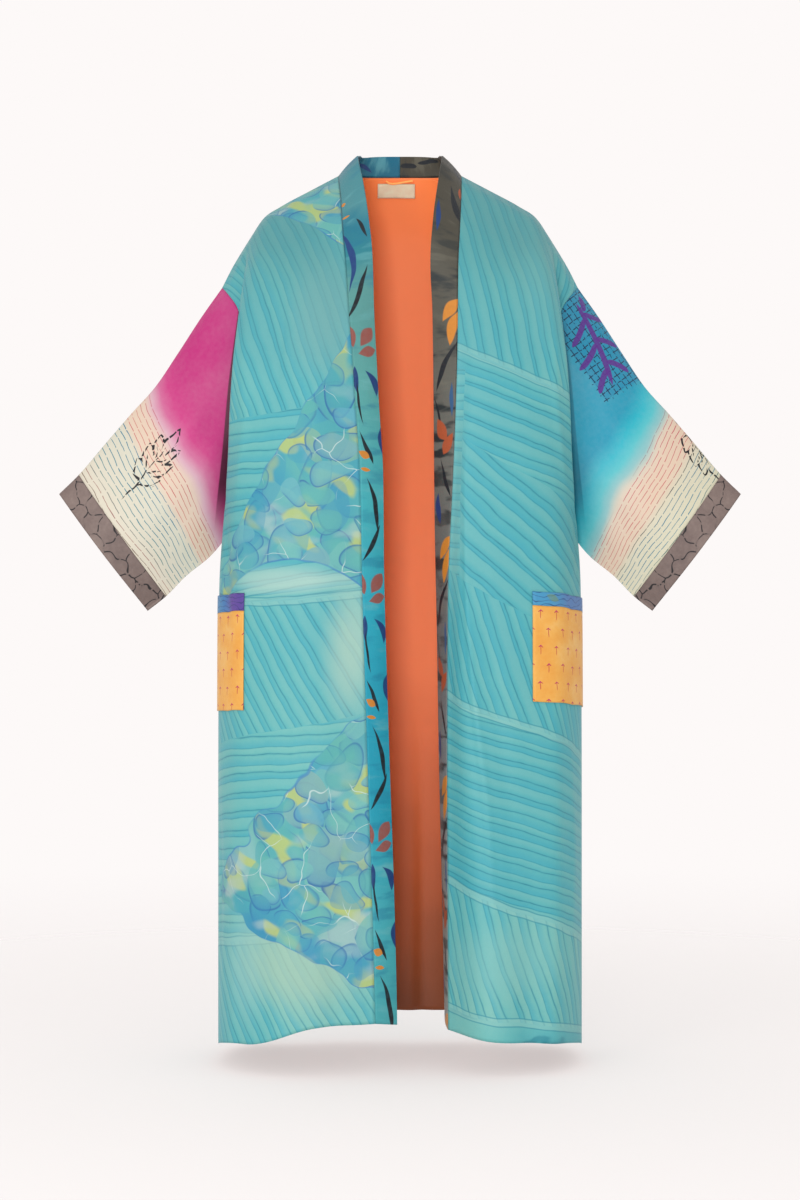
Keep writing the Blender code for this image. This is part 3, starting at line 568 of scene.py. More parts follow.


# A print's blocks: down at the middle, rise outward, bend, the stripes' fall outward in degrees, their
# pitch, how pale they are, whether a pale line edges them, and how far out they go. Beds: top, its
# rise, foot, its rise and bend, and how ragged it is. Washes: middle, size, colour and cover; the last
# wash of each print is a painted shade that darkens it over the shoulders.
FRONT_PRINTS = {
    RIGHT: (
        "turquoise_silk_right",
        (
            (0, 0, 0, -67, 0.0215, 0.34, False),
            (0.33, 0.18, 0, 7, 0.024, 0.42, False),
            (0.575, 0, 0.5, 6, 0.013, 0.5, True),
            (0.6, 0.05, 0, -58, 0.0215, 0.45, True),
            (0.745, 0.2, 0, 5, 0.024, 0.58, False),
            (1.02, 0.15, 0, -60, 0.0215, 0.5, True),
        ),
        (
            (0.02, 0, 0.206, -1.05, 1.5, 0),
            (0.162, 1.52, 0.64, -1.15, 4, 0),
            (0.71, 0.97, 1.131, -0.47, 0, 0.055),
        ),
        (
            ((0.105, 0.215), (0.075, 0.11), (128, 184, 182), 0.65),
            ((0.062, 0.67), (0.045, 0.11), (186, 216, 196), 0.65),
            ((0.15, 0.585), (0.12, 0.022), (190, 220, 206), 0.6),
            ((0.215, 1.09), (0.05, 0.12), (150, 204, 202), 0.5),
            ((0.13, 1.08), (0.12, 0.09), (172, 206, 182), 0.7),
            # A painted shade over the shoulder.
            ((0.16, 0.09), (0.22, 0.24), (82, 152, 156), 0.62),
        ),
    ),
    LEFT: (
        "turquoise_silk_left",
        (
            (0, 0, 0, 75, 0.0215, 0.34, False),
            (0.2405, 0.4, 0, 22, 0.0215, 0.3, True),
            (0.345, 0.55, 0, 40, 0.026, 0.3, False),
            (0.3, 0, 0, 4, 0.021, 0.46, False, 0.087),
            (0.535, 0.5, 0, 70, 0.0215, 0.28, False),
            (0.708, 0.36, 0, 17, 0.021, 0.28, True),
            (0.953, 0.35, 0, 72, 0.023, 0.6, True),
            (1.131, 0.17, 0, 5, 0.2, 0.3, True),
        ),
        (),
        (
            ((0.195, 0.17), (0.07, 0.12), (118, 186, 186), 0.5),
            ((0.075, 0.47), (0.022, 0.22), (150, 208, 205), 0.3),
            ((0.155, 1.08), (0.12, 0.06), (132, 198, 194), 0.5),
            # A painted shade over the shoulder.
            ((0.15, 0.08), (0.22, 0.23), (82, 154, 158), 0.55),
        ),
    ),
}
ROW_DENSITY = 1.25
FRONT_ROWS = np.linspace(0, 1, 281) ** ROW_DENSITY
FRONT_COLUMNS = np.linspace(0, 1, 91)


def front_points(side, across, down):
    """A front's grid with its creases, for what lies on it too."""
    points = front_surface(side, across.ravel(), down.ravel()).reshape(*across.shape, 3)
    return points + normals_of(points) * (side * creased(FRONT_CREASES[side], across, down))[..., None]


PRESSED, PRESSED_SHARE = 0.012, 0.06


def ridge_share(points):
    """A length's thickness beside the shoulder seam, where it is pressed thin, as a share."""
    return np.clip(lengths(points, 0) / PRESSED, PRESSED_SHARE, 1)


for side, side_name in SIDE_NAMES.items():
    down, across = np.meshgrid(FRONT_ROWS, FRONT_COLUMNS, indexing="ij")
    points = front_points(side, across, down)
    flat = hanging_flat(points, abs(points[:, :1, 0]) + lengths(points, 1))
    finishes = [painted_silk(*FRONT_PRINTS[side]), lining]
    front = cloth(f"silk_front_{side_name}", points, flat, side == LEFT, SILK, finishes,
                  thin=ridge_share(points))
    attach(front, "root")
    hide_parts(f"front_{side_name}")


# The back. It is one wide length of the same striped silk, cut to the neck and the two armholes. It
# hangs from the shoulder seams in long soft folds.
BACK_KNOTS = np.array([0, 0.143, 0.238, 0.3, 0.42, 0.56, 0.71, 0.77, 0.82, 0.9, 1])
NECK_Z = (0.0065, 0.005, 0.002)
SHOULDER_EASE = 0.05
BACK_HEM_Z = (-1.145, -1.146, -1.147, -1.149, -1.153, -1.159, -1.164, -1.166, -1.168, -1.1695, -1.1705)

# Down, then out and back of the centre, the nape, the neck's corner and the neck point.
BACK_INNER = table(
    (0, 10, 30, 70, 120, 170, 215, 280, 360, 500, 700, 1000),
    (0, 0, 0, 0, 0, 0, 0, 0, 0, 0, 0, 0),
    (55, 60, 70, 86, 98, 106, 110, 112, 110, 108, 115, 126),
    (45, 45, 45, 45, 45, 45, 45, 45, 45, 45, 45, 45),
    (46, 53, 65, 84, 98, 107, 111, 113, 112, 110, 116, 126),
    (70, 70, 70, 72, 73, 74, 75, 75, 76, 76, 76, 76),
    (24, 36, 52, 78, 96, 106, 110, 112, 111, 109, 115, 124),
    (83, 83.5, 86, 90, 93, 95, 96, 96, 97, 98, 98, 98),
    (0, 20, 41, 73, 93, 104, 108, 110, 109, 107, 113, 121),
)

# Down, then out and back of the shoulder, the blade, the turn, the edge, the hook and the valley.
BACK_OUTER = table(
    OUTER_DOWN,
    (122, 122, 123, 126, 129, 131, 133, 134, 135, 136, 137, 138, 139),
    (0, 19, 38, 69, 89, 100, 104, 106, 105, 104, 104, 109, 115),
    (160, 160, 160, 163, 167, 171, 174, 176, 179, 182, 185, 188, 190),
    (0, 18, 36, 66, 85, 94, 96, 97, 95, 94, 94, 98, 102),
    (187.5, 188.5, 192, 198, 205, 210.5, 214.5, 218, 223, 226, 227.5, 229, 229.5),
    (0, 17.5, 34, 61, 83, 87, 86, 79, 73, 71, 72, 74, 77),
    (198, 200, 203, 207.5, 214.5, 219.5, 223.5, 227.5, 234, 238, 239, 239.5, 240),
    (0, 17, 31, 55.5, 76.5, 79, 77, 65, 56, 53, 55, 57, 59),
    HOOK_OUT,
    (0, 16.5, 28, 49.5, 69, 70, 65, 51, 42, 41, 43, 44, 45),
    VALLEY_OUT,
    (0, 16, 27, 46, 66, 62, 52, 39, 29, 29, 32, 32, 32.5),
)

# Its drapes and its creases are stated as the fronts' are.
BACK_DRAPES = (
    (-0.62, 0.09, 0.007, 0.3),
    (-0.42, 0.07, -0.006, 0.4),
    (-0.2, 0.09, 0.008, 0.3),
    (0.04, 0.08, -0.007, 0.35),
    (0.27, 0.09, 0.008, 0.28),
    (0.5, 0.07, -0.006, 0.42),
    (0.66, 0.06, 0.005, 0.35),
)
BACK_CREASES = (
    (-1.8, 22, 40, -520, 140, -440, 300, -400),
    (-1.6, 20, 40, 500, 150, 450, 280, 430),
    (1.6, 30, 100, -160, 240, -200, 400, -170),
    (1.8, 26, 120, 240, 280, 180, 460, 220),
    (4, 36, 500, 70, 800, 100, 1400, 90),
    (-2, 24, 240, -780, 360, -660, 540, -600),
    (-2, 24, 250, 800, 380, 680, 520, 640),
    (2, 30, 500, -70, 720, -90, 990, -60),
    (-1.8, 24, 520, 380, 740, 400, 990, 390),
    (-1.8, 22, 560, -540, 780, -520, 990, -530),
)


def back_shape(across, down):
    """The back as drafted, across from -1 at the right side seam to 1 at the left one."""
    plan = np.hstack([down_curve(BACK_INNER, down), down_curve(BACK_OUTER, down)])
    plan = plan.reshape(len(down), -1, 2)
    plan = np.concatenate([plan, seam_points(down, 1)[:, None]], axis=1)
    z = heights(NECK_Z + RIDGE_Z, BACK_HEM_Z, down)
    controls = np.dstack([plan, z])
    mirrored = controls[:, 1:2] * (-1, 1, 1)
    knots = np.concatenate([-BACK_KNOTS[1:2], BACK_KNOTS])
    points = across_curve(knots, np.concatenate([mirrored, controls], axis=1), np.abs(across))
    points[:, 1] += drape(BACK_DRAPES, across, down)
    points[:, 0] *= np.where(across < 0, -1, 1)
    return points


def back_surface(across, down):
    """Outer points of the back, with its shoulder edges brought onto the fronts' at the seams."""
    points = back_shape(across, down)
    edge = back_shape(across, np.zeros(len(across)))
    out = np.abs(edge[:, 0])
    fronts = front_surface(LEFT, np.linspace(0, 1, 201), np.zeros(201))
    rise = np.interp(out, fronts[:, 0], fronts[:, 2]) - edge[:, 2]
    share = np.clip(1 - down / SHOULDER_EASE, 0, 1) ** 2 * (out > fronts[0, 0])
    points[:, 1] -= edge[:, 1] * share
    points[:, 2] += rise * share
    return points


def back_points(across, down, depth=0):
    """The back's grid with its creases, or one that lies deeper than it by a depth."""
    points = back_surface(across.ravel(), down.ravel()).reshape(*across.shape, 3)
    inward = normals_of(points)
    return points + inward * (depth - creased(BACK_CREASES, across, down))[..., None]


def back_flat(points):
    """The back's flat places: across from the centre, and down from the shoulder."""
    across = lengths(points, 1)
    return hanging_flat(points, across - across[:, points.shape[1] // 2][:, None])


BACK_ROWS = np.linspace(0, 1, 251) ** ROW_DENSITY
BACK_COLUMNS = np.linspace(-1, 1, 171)
down, across = np.meshgrid(BACK_ROWS, BACK_COLUMNS, indexing="ij")
points = back_points(across, down)
back_print = painted_silk(
    "turquoise_silk_back",
    (
        (0, 0, 0, 74, 0.0215, 0.34, False),
        (0.26, 0.22, 0, 24, 0.0215, 0.3, True),
        (0.55, -0.16, 0, -70, 0.0215, 0.45, True),
        (0.76, 0.2, 0, 14, 0.021, 0.28, True),
        (1, -0.12, 0, 68, 0.023, 0.55, True),
        (1.15, 0, 0, 5, 0.2, 0.3, True),
    ),
    ((0.29, 0.8, 0.56, 0.4, 0, 0),),
    (
        ((-0.14, 0.16), (0.12, 0.1), (158, 205, 196), 0.6),
        ((0.1, 0.68), (0.14, 0.1), (190, 216, 192), 0.5),
        ((-0.1, 1.06), (0.16, 0.08), (186, 214, 186), 0.5),
        # A painted shade over the shoulders and the nape.
        ((0, 0.02), (0.4, 0.2), (84, 158, 162), 0.5),
    ),
)
back = cloth("silk_back", points, back_flat(points), False, SILK, [back_print, lining],
             thin=ridge_share(points))
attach(back, "root")
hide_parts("back")


# The back's lining. A second length of plain orange satin hangs inside the back, caught in its seams.
# It shows through the open front from the neck seam to the hem.
LINING_DEPTH = 0.0026
LINING_EDGE = 0.985
LINING = 0.0008

# How far its top starts below the back's, from the neck out, and where the two draw level.
LINING_TOP = ((0.14, 0.3), (0.0006, 0.012))
LINING_TOP_REACH = 0.03
down, across = np.meshgrid(BACK_ROWS, BACK_COLUMNS[1:-1] * LINING_EDGE, indexing="ij")
down = down + np.interp(abs(across), *LINING_TOP) * np.maximum(0, 1 - down / LINING_TOP_REACH)
points = back_points(across, down, LINING_DEPTH)
satin = cloth("satin_lining", points, back_flat(points), True, LINING, [lining])
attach(satin, "root")
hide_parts("back_lining")


# The neck and front band. It is two straight strips of other silks, doubled, joined at the centre
# back, and sewn round the neck and down both front edges. Its free edge is the fold.
BAND_WIDTH = 0.038
BAND_CAMBER = 0.0012
BAND = 0.0022
SEAM_EDGE = 0.0022

# Down, then the way from the seam to the free edge: inward, forward and up.
BAND_WAY = {
    RIGHT: table(
        (0, 30, 70, 120, 170, 215, 360, 500, 930, 1000),
        (660, 780, 900, 900, 860, 830, 800, 760, 760, 760),
        (-380, -300, -120, 250, 450, 540, 600, 650, 650, 650),
        (640, 550, 380, 200, 80, 0, 0, 0, 0, -140),
    ),
    LEFT: table(
        (0, 30, 70, 120, 170, 215, 360, 500, 700, 930, 1000),
        (660, 800, 930, 950, 870, 830, 640, 390, 260, 130, 100),
        (-380, -300, -150, 200, 480, 550, 770, 920, 965, 990, 980),
        (640, 520, 330, 180, 60, 0, 0, 0, 0, 0, 250),
    ),
}
NECK_BAND_WAY = table(
    (0, 143, 238, 270, 300),
    (0, 200, 430, 580, 660),
    (560, 530, 420, 220, -380),
    (830, 820, 775, 720, 640),
)
BAND_NECK_ROWS = np.linspace(0, 0.275, 24)
BAND_SHARES = np.concatenate([np.linspace(0, 0.9, 11), (0.94, 0.97, 0.99, 1)])


def band_points(side):
    """The band's grid: rows run from the centre back round the neck and down, columns out from the seam."""
    neck = BAND_NECK_ROWS * side
    seam = np.vstack([
        back_surface(neck, np.zeros(len(neck))),
        front_surface(side, np.zeros(len(FRONT_ROWS)), FRONT_ROWS),
    ])
    neck_ways = unit(down_curve(NECK_BAND_WAY, np.abs(neck)))
    neck_ways = neck_ways * np.stack([-np.sign(neck), np.ones(len(neck)), np.ones(len(neck))], axis=1)
    ways = np.vstack([neck_ways, unit(down_curve(BAND_WAY[side], FRONT_ROWS)) * (-side, 1, 1)])
    outward = unit(np.cross(unit(np.gradient(seam, axis=0)), ways)) * -side
    reach = BAND_SHARES * BAND_WIDTH
    rise = BAND_CAMBER * np.sin(np.pi * BAND_SHARES)
    return seam[:, None] + reach[:, None] * ways[:, None] + rise[:, None] * outward[:, None]


GROUND_LENGTH = 1.35
BRUSH_SHAKE = 0.006
PRINT_EDGE = 0.0005


def band_silk(name, base, smudges, repeat, start, marks, neck_marks):
    """A band's silk: its own ground, brushed smudges across it, and a print of leaves and strokes
    that starts below the collar bones, under the marks painted round the neck."""
    finish, place, across, down, cloudy, fine = new_finish(name, (14, 3), (160, 2))
    brushed = place.seen_from((0, 0), (0.075, 0.02)).noise(1, 3)
    colour = (down / GROUND_LENGTH + (cloudy - 0.5) * 0.06).ramp(*base)
    for ink, low, high, cover in smudges:
        colour = colour.under(ink, brushed.step(low, high) * cloudy * cover)
    bent = place.shaken(24, BRUSH_SHAKE).vector("SUBTRACT", (BRUSH_SHAKE / 2, BRUSH_SHAKE / 2, 0))
    bent_across, bent_down = bent.split()
    within = ((bent_down - start) / repeat).parted()[1] * repeat
    printed = place.add("CombineXYZ", None, {0: bent_across, 1: within})
    lower = down.step(start + repeat - PRINT_EDGE, start + repeat + PRINT_EDGE)
    cover = 0.88 + 0.2 * fine
    for ink, *mark in marks:
        colour = colour.under(ink, printed.daub(*mark) * lower * cover)
    for ink, *mark in neck_marks:
        colour = colour.under(ink, bent.daub(*mark) * cover)
    # A painted shade darkens the band along its seam with the front.
    colour = colour.under((20, 40, 45), across.step(SEAM_EDGE, 0) * 0.14)
    relief = fine * 0.0002 + cloudy * 0.0006 - across.step(SEAM_EDGE, 0.0004) * 0.0008
    return woven(finish, colour, place, 0.00045, 0.00003, relief, 0.48, 0.05)


INK, NAVY, BRICK, AMBER = (24, 30, 38), (28, 66, 128), (158, 92, 84), (222, 142, 50)
RUST, BLUE = (184, 88, 50), (52, 94, 138)
BAND_SILKS = {
    # Ground, smudges, repeat, its start, and marks: ink, middle, half length and width in thousandths,
    # way, bend and taper. Then the marks round the neck.
    RIGHT: (
        (
            (0, 14, 112, 142), (0.062, 22, 118, 146), (0.082, 72, 146, 156),
            (0.14, 80, 150, 158), (0.165, 30, 124, 148), (0.19, 44, 137, 150),
            (0.23, 95, 163, 160), (0.33, 98, 177, 173), (0.44, 70, 186, 196),
            (0.54, 45, 181, 205), (0.64, 36, 168, 196), (0.74, 36, 169, 195),
            (0.84, 72, 182, 194), (1, 79, 173, 175),
        ),
        (((16, 116, 156), 0.54, 0.72, 0.8), ((120, 196, 200), 0.44, 0.26, 0.8)),
        0.324, 0.032,
        (
            (BRICK, 22.8, 17.5, 16.6, 10.2, -52, 0, 0.35), (BRICK, 22.5, 37, 15.4, 7.7, -14, 0, 0.4),
            (BRICK, 1, 18, 14.1, 6.9, 82), (NAVY, 32, 76, 19.6, 6.1, 64, 1.2, 0.2),
            (NAVY, 3, 76, 19.6, 4.6, 88, 0, -0.4), (INK, 5, 105, 30.2, 2, 84, -1.5),
            (INK, 12.5, 162, 25.8, 3.2, 68, 0.3, 0.5), (NAVY, 36.5, 153, 22.4, 6.7, 92, -0.8),
            (AMBER, 8, 172, 9, 5.8, 30, 0, 0.3), (AMBER, 8.5, 192, 7.9, 3, 10),
            (INK, 23, 236, 40.3, 4.3, 74, 1.3, 0.5), (INK, 18.5, 290, 30.2, 3.9, 124, 0.6, -0.2),
        ),
        (
            (NAVY, 19.5, 60, 23.5, 4.6, 65, 0.8), (AMBER, 4.5, 182, 3.8, 3.7, 0),
            (AMBER, 6, 206, 6.1, 1.9, 0), (INK, 28.5, 230, 16.8, 2.8, 66, 0.6),
            (NAVY, 11.8, 272, 47, 4.9, 88, 3, -0.35), (INK, 16.3, 318, 40.3, 3.9, 116, 0.8, -0.1),
        ),
    ),
    LEFT: (
        (
            (0, 76, 71, 58), (0.07, 78, 74, 62), (0.16, 78, 75, 64), (0.26, 92, 90, 80),
            (0.4, 114, 114, 108), (0.58, 114, 121, 121), (0.72, 132, 143, 146),
            (0.84, 150, 153, 148), (1, 144, 142, 138),
        ),
        (((40, 48, 50), 0.5, 0.66, 1.7), ((132, 128, 112), 0.42, 0.26, 0.6)),
        0.312, 0.003,
        (
            (AMBER, 11.7, 21, 19.8, 9.1, 52, 0.2, -0.2), (AMBER, 7.5, 45.5, 24.3, 8.8, 76, 0.2, -0.1),
            (INK, 18, 91, 41.4, 4.3, 62, 1.1, 0.4), (BLUE, 6.5, 139, 24.6, 3.5, 92),
            (INK, 29, 159, 26.9, 2, 106), (RUST, 24, 178, 17.9, 9.4, 122, 0.2, 0.2),
            (RUST, 12, 196, 17.3, 8.3, 62, 0.2, 0.2), (INK, 14, 242, 29.1, 3.2, 112, 0.5, 0.4),
            (NAVY, 29, 283, 21.3, 7.2, 94, 0.5),
        ),
        (
            (INK, 21.5, 13, 13.4, 4.9, 88, 0.2, 0, True), (INK, 30, 52, 24.1, 4.3, 84, 0.3, 0, True),
            (INK, 11, 122, 17.9, 4.9, 118, 0.5), (RUST, 2, 159, 10.9, 3.3, 90),
            (INK, 10.5, 184, 31.4, 5.8, 111, 0.4, 0.5), (NAVY, 31.5, 212, 24.6, 4.1, 90, -0.5),
        ),
    ),
}
BAND_SLOTS = {RIGHT: "teal_band_silk", LEFT: "grey_band_silk"}
for side, side_name in SIDE_NAMES.items():
    points = band_points(side)
    along_seam = np.broadcast_to(lengths(points, 0)[:, :1], points.shape[:2])
    flat = np.dstack([lengths(points, 1), along_seam])
    finish = band_silk(BAND_SLOTS[side], *BAND_SILKS[side])
    band = cloth(f"silk_band_{side_name}", points, flat, side == RIGHT, BAND, [finish])
    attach(band, "root")
    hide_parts(f"band_{side_name}")


# The sleeves and their cuffs. Each sleeve is one length of dip-dyed silk folded over the arm and sewn
# under it, set into the armhole, and finished with a turned band of taupe silk.

# Along from the armhole, then out and up of the sleeve's upper fold and of its lower one.
SLEEVE_TOP = table(
    (0, 160, 340, 520, 670, 820, 1000, 1120),
    (240, 268.7, 299.7, 330.8, 361.8, 392.9, 431.7, 458),
    (-151, -191.7, -239.6, -286.2, -321.3, -357.8, -404, -430),
)
SLEEVE_BOTTOM = table(
    (0, 300, 590, 685, 846, 1000, 1120),
    (165, 203, 241.1, 256.5, 287.6, 314.6, 339),
    (-370.2, -436, -496.8, -514.4, -540, -567.5, -587),
)

# Along, half the sleeve's depth, and how far forward of the shoulder line it lies.
SLEEVE_SECTIONS = table(
    (0, 300, 600, 1000, 1120),
    (50, 44, 36, 27, 25),
    (0, 1, 6, 14, 16),
)
SLEEVE_FREE = 0.3
SLEEVE_UPPER_FULLNESS = 0.75
SLEEVE_LOWER_FULLNESS = 1.2

# Creases as the fronts have, with their places along the sleeve and down from its upper fold.
SLEEVE_CREASES = (
    (-3, 100, 20, 620, 300, 500, 620, 520),
    (2.6, 120, 60, 300, 400, 340, 800, 300),
    (-2.2, 90, 350, 800, 650, 700, 980, 740),
    (1.8, 100, 450, 180, 750, 160, 990, 220),
)


def sleeve_surface(side, way, ring, along):
    """Points of the sleeve: ring is 0 on its upper fold and 1 on its lower one, way is -1 on the
    front half, and along is 0 at the armhole, 1 at the cuff seam and more in the cuff."""
    top = down_curve(SLEEVE_TOP, along)
    bottom = down_curve(SLEEVE_BOTTOM, along)
    half, fore = down_curve(SLEEVE_SECTIONS, along).T
    armhole_out, armhole_depth = down_curve(ARMHOLE, ring * UNDERARM).T
    straight_out = SLEEVE_TOP[0, 1] + ring * (SLEEVE_BOTTOM[0, 1] - SLEEVE_TOP[0, 1])
    blend = np.clip(along / SLEEVE_FREE, 0, 1)
    blend = blend**2 * (3 - 2 * blend)
    middle = top + ring[:, None] * (bottom - top)
    out = middle[:, 0] + (1 - blend) * (armhole_out - straight_out)
    bulge = np.maximum(np.sin(np.pi * ring), 0)
    profile = bulge ** np.where(ring < 0.5, SLEEVE_UPPER_FULLNESS, SLEEVE_LOWER_FULLNESS)
    depth = (1 - blend) * armhole_depth + blend * half * profile
    depth = depth + creased(SLEEVE_CREASES, ring, along) * np.sin(np.pi * ring)
    return np.stack([side * out, way * depth - fore, middle[:, 1]], axis=1)


RING = (1 - np.cos(np.linspace(0, np.pi, 45))) / 2


def sleeve_grid(side, stations):
    """Rings of points, each from the underarm seam up the back half, over the fold and down the front."""
    along = np.repeat(stations[:, None], len(RING), axis=1).ravel()
    ring = np.tile(RING, len(stations))
    behind = sleeve_surface(side, 1, ring, along).reshape(len(stations), -1, 3)
    before = sleeve_surface(side, -1, ring, along).reshape(len(stations), -1, 3)
    return np.concatenate([behind[:, ::-1], before[:, 1:]], axis=1)


SLEEVE_AXIS = (0.604, 0.797)


def sleeve_flat(points):
    """A sleeve's flat places: along it from the shoulder, and round it from its upper fold, where the
    front half is positive."""
    out = np.abs(points[..., 0]) - SLEEVE_TOP[0, 1]
    drop = SLEEVE_TOP[0, 2] - points[..., 2]
    along = out * SLEEVE_AXIS[0] + drop * SLEEVE_AXIS[1]
    below = drop * SLEEVE_AXIS[0] - out * SLEEVE_AXIS[1]
    steps = np.hypot(np.diff(below, axis=1), np.diff(points[..., 1], axis=1))
    round_it = np.insert(np.cumsum(steps, axis=1), 0, 0, axis=1)
    fold = len(RING) - 1
    round_it -= round_it[:, fold:fold + 1] - below[:, fold:fold + 1]
    return np.dstack([along, round_it])


LEAF_INK = (20, 22, 30)
DIP_REACH = 0.12
DASH_PITCH = 0.0235

# How far along the sleeve its cuff's seam lies at the upper fold, and its lean below that.
CUFF_SEAM = (0.317, 0.3125)

# The body's folded edge beside the sleeve: its lean, its place, and where its shade ends below.
FOLD_LEAN = 0.107
FOLD_EDGE = (-0.037, -0.039)
SHADE_FOOT = (0.345, 0.27)


def sleeve_silk(name, border, stops, tints, lines, drawn, painted, shade, depth):
    """A sleeve's silk: dip-dyed from its colour to cream, with wavy broken lines drawn along the cuff,
    its own painting, and a shade where it goes in behind the fold beside the body."""
    finish, place, along, round_it, cloudy, fine = new_finish(name, (9, 3), (150, 2))
    wander = place.noise(10) - 0.5
    start, lean = border
    below = abs(round_it)
    edge = start + below * lean
    to_cuff = (along - edge) / (CUFF_SEAM[0] - start + below * (CUFF_SEAM[1] - lean))
    dipped = along - edge + wander * 0.034 + (cloudy - 0.5) * 0.014
    colour = (dipped / DIP_REACH + 0.5).ramp(*stops)
    colour = colour.under(
        to_cuff.ramp(*tints), dipped.step(0, 0.03),
        (255, 255, 255), (cloudy - 0.5) * 0.16 + fine * 0.05,
    )
    line, share = (to_cuff * lines + wander * 1.8 + (place.noise(70) - 0.5) * 0.22).parted()
    dash = (round_it / DASH_PITCH + line.chance() * 7 + wander * 2.5).parted()[1]
    thickness = 0.02 + 0.07 * place.noise(45)
    inked = abs(share - 0.5).step(thickness + 0.025, thickness) * dash.step(0, 0.03) * dash.step(0.92, 0.89)
    inked = inked * to_cuff.step(0, 0.05) * (0.75 + 0.5 * place.noise(30))
    colour = painted(place, colour.under(((line + 0.5) / lines).ramp(*drawn), inked * 0.9))
    outward = along * SLEEVE_AXIS[0] - below * SLEEVE_AXIS[1]
    fallen = along * SLEEVE_AXIS[1] + below * SLEEVE_AXIS[0]
    behind = (outward - fallen * FOLD_LEAN).step(*FOLD_EDGE) * fallen.step(*SHADE_FOOT)
    colour = colour.under(shade, behind * depth)
    return woven(finish, colour, place, 0.0004, 0.00003, fine * 0.0002 + cloudy * 0.0005, 0.46, 0.06)


# A leaf's lobes: along and across, half length and width, and way. Its rib and veins are brush marks,
# in thousandths.
LEAF_LOBES = (
    (0.7, 0, 0.46, 0.2, 0), (0.44, 0.26, 0.38, 0.17, 34), (0.4, -0.26, 0.38, 0.17, -36),
    (0.08, 0.36, 0.42, 0.19, 46), (0.02, -0.34, 0.4, 0.18, -48), (-0.28, 0.3, 0.38, 0.18, 62),
    (-0.34, -0.28, 0.36, 0.16, -64), (0, 0, 0.62, 0.3, 0),
)
LEAF_VEINS = (
    (-620, 30, 620, 43, 3, 2), (200, 20, 420, 29, 0, 1), (300, 170, 260, 29, 40, 1),
    (240, -160, 260, 29, -42, 1), (-60, 220, 280, 29, 52, 1),
    (-120, -200, 260, 29, -52, 1),
)


def with_leaf(place, colour, middle, size, turn):
    """A leaf outlined in broken black lines: pointed lobes in pairs up a rib, and a stalk."""
    seen = place.seen_from(middle, size, turn).shaken(2.6, 0.16).vector("SUBTRACT", (0.08, 0.08, 0))
    lobes = []
    for along, across, half_length, half_width, way in LEAF_LOBES:
        rise, beside = seen.seen_from((along, across), (half_length, half_width), way).split()
        lobes.append((1 - rise * rise - abs(beside)) * half_width)
    drawn = abs(reduce(Paint.most, lobes)).step(0.044, 0.028)
    for vein in LEAF_VEINS:
        drawn = drawn.most(seen.daub(*vein))
    return colour.under(LEAF_INK, drawn * place.broken(0.013, 0.045))


def painted_pink(place, colour):
    """The leaf on the pink sleeve."""
    return with_leaf(place, colour, (0.247, 0.082), (0.052, 0.036), 176)


GRID_PITCH = 0.0092


def painted_blue(place, colour):
    """A patch of blue with a grid of broken lines, a plain purple sprig over it, and a leaf."""
    grid = place.shaken(40, 0.0024, 0).seen_from((0.072, 0.022), (GRID_PITCH, GRID_PITCH)).split()
    lines = reduce(Paint.least, [abs(each - each.math("ROUND")) for each in grid])
    out, beside = abs(grid[0]) + grid[1] * 0.1, abs(grid[1])
    patch = out.step(8.6, 8.3) * beside.step(6.3, 6.1)
    ends = out.step(9, 8.8) * beside.step(6.6, 6.5)
    colour = colour.under(
        (6, 122, 176), patch * 0.34,
        (14, 40, 76), lines.step(0.1, 0.055) * ends * place.broken(0.012, 0.04) * 0.92,
    )
    for mark in (
        (76, 36, 62, 5, 14, 1, 0.1), (52, 50, 24, 4.6, 62, 0.5), (46, 14, 19, 4.6, -50, -0.5),
        (86, 60, 25, 4.8, 70, 0.6), (82, 20, 19, 4.4, -46, 0.4), (120, 64, 21, 5, 58, -0.5),
        (116, 28, 19, 4.8, -38, 0.5), (22, 16, 12, 5, 30, 0.3),
    ):
        colour = colour.under((98, 42, 148), place.daub(*mark, blunt=True) * 0.92)
    return with_leaf(place, colour, (0.27, 0.004), (0.048, 0.034), 2)


# A sleeve's silk: its border down at the upper fold and lean, the dip's colours, the cream's, how many
# lines are drawn and their colours, its painting, and the shade and its depth.
SLEEVE_SILKS = {
    RIGHT: sleeve_silk(
        "pink_sleeve_silk",
        (0.166, 0.5),
        (
            (0, 206, 40, 130), (0.22, 215, 56, 138), (0.36, 220, 108, 160),
            (0.5, 228, 180, 196), (0.64, 236, 212, 194), (1, 238, 220, 200),
        ),
        (
            (0, 238, 212, 190), (0.3, 238, 214, 190), (0.42, 226, 224, 204),
            (1, 232, 224, 204),
        ),
        17,
        (
            (0, 196, 90, 110), (0.2, 206, 118, 112), (0.34, 210, 106, 108),
            (0.37, 30, 124, 158), (0.72, 44, 132, 150), (0.82, 84, 134, 132),
            (0.92, 168, 112, 104), (1, 104, 112, 92),
        ),
        painted_pink, (66, 20, 42), 0.9,
    ),
    LEFT: sleeve_silk(
        "blue_sleeve_silk",
        (0.196, 0.46),
        (
            (0, 22, 163, 194), (0.2, 40, 193, 212), (0.36, 88, 206, 215),
            (0.5, 150, 206, 208), (0.64, 228, 220, 200), (1, 240, 220, 198),
        ),
        (
            (0, 240, 214, 190), (0.45, 238, 212, 186), (0.6, 228, 222, 196),
            (1, 226, 222, 194),
        ),
        15,
        (
            (0, 120, 96, 110), (0.1, 206, 96, 112), (0.48, 208, 110, 112),
            (0.56, 110, 112, 104), (0.66, 34, 122, 152), (0.9, 40, 128, 156),
            (1, 90, 120, 100),
        ),
        painted_blue, (8, 84, 104), 0.45,
    ),
}

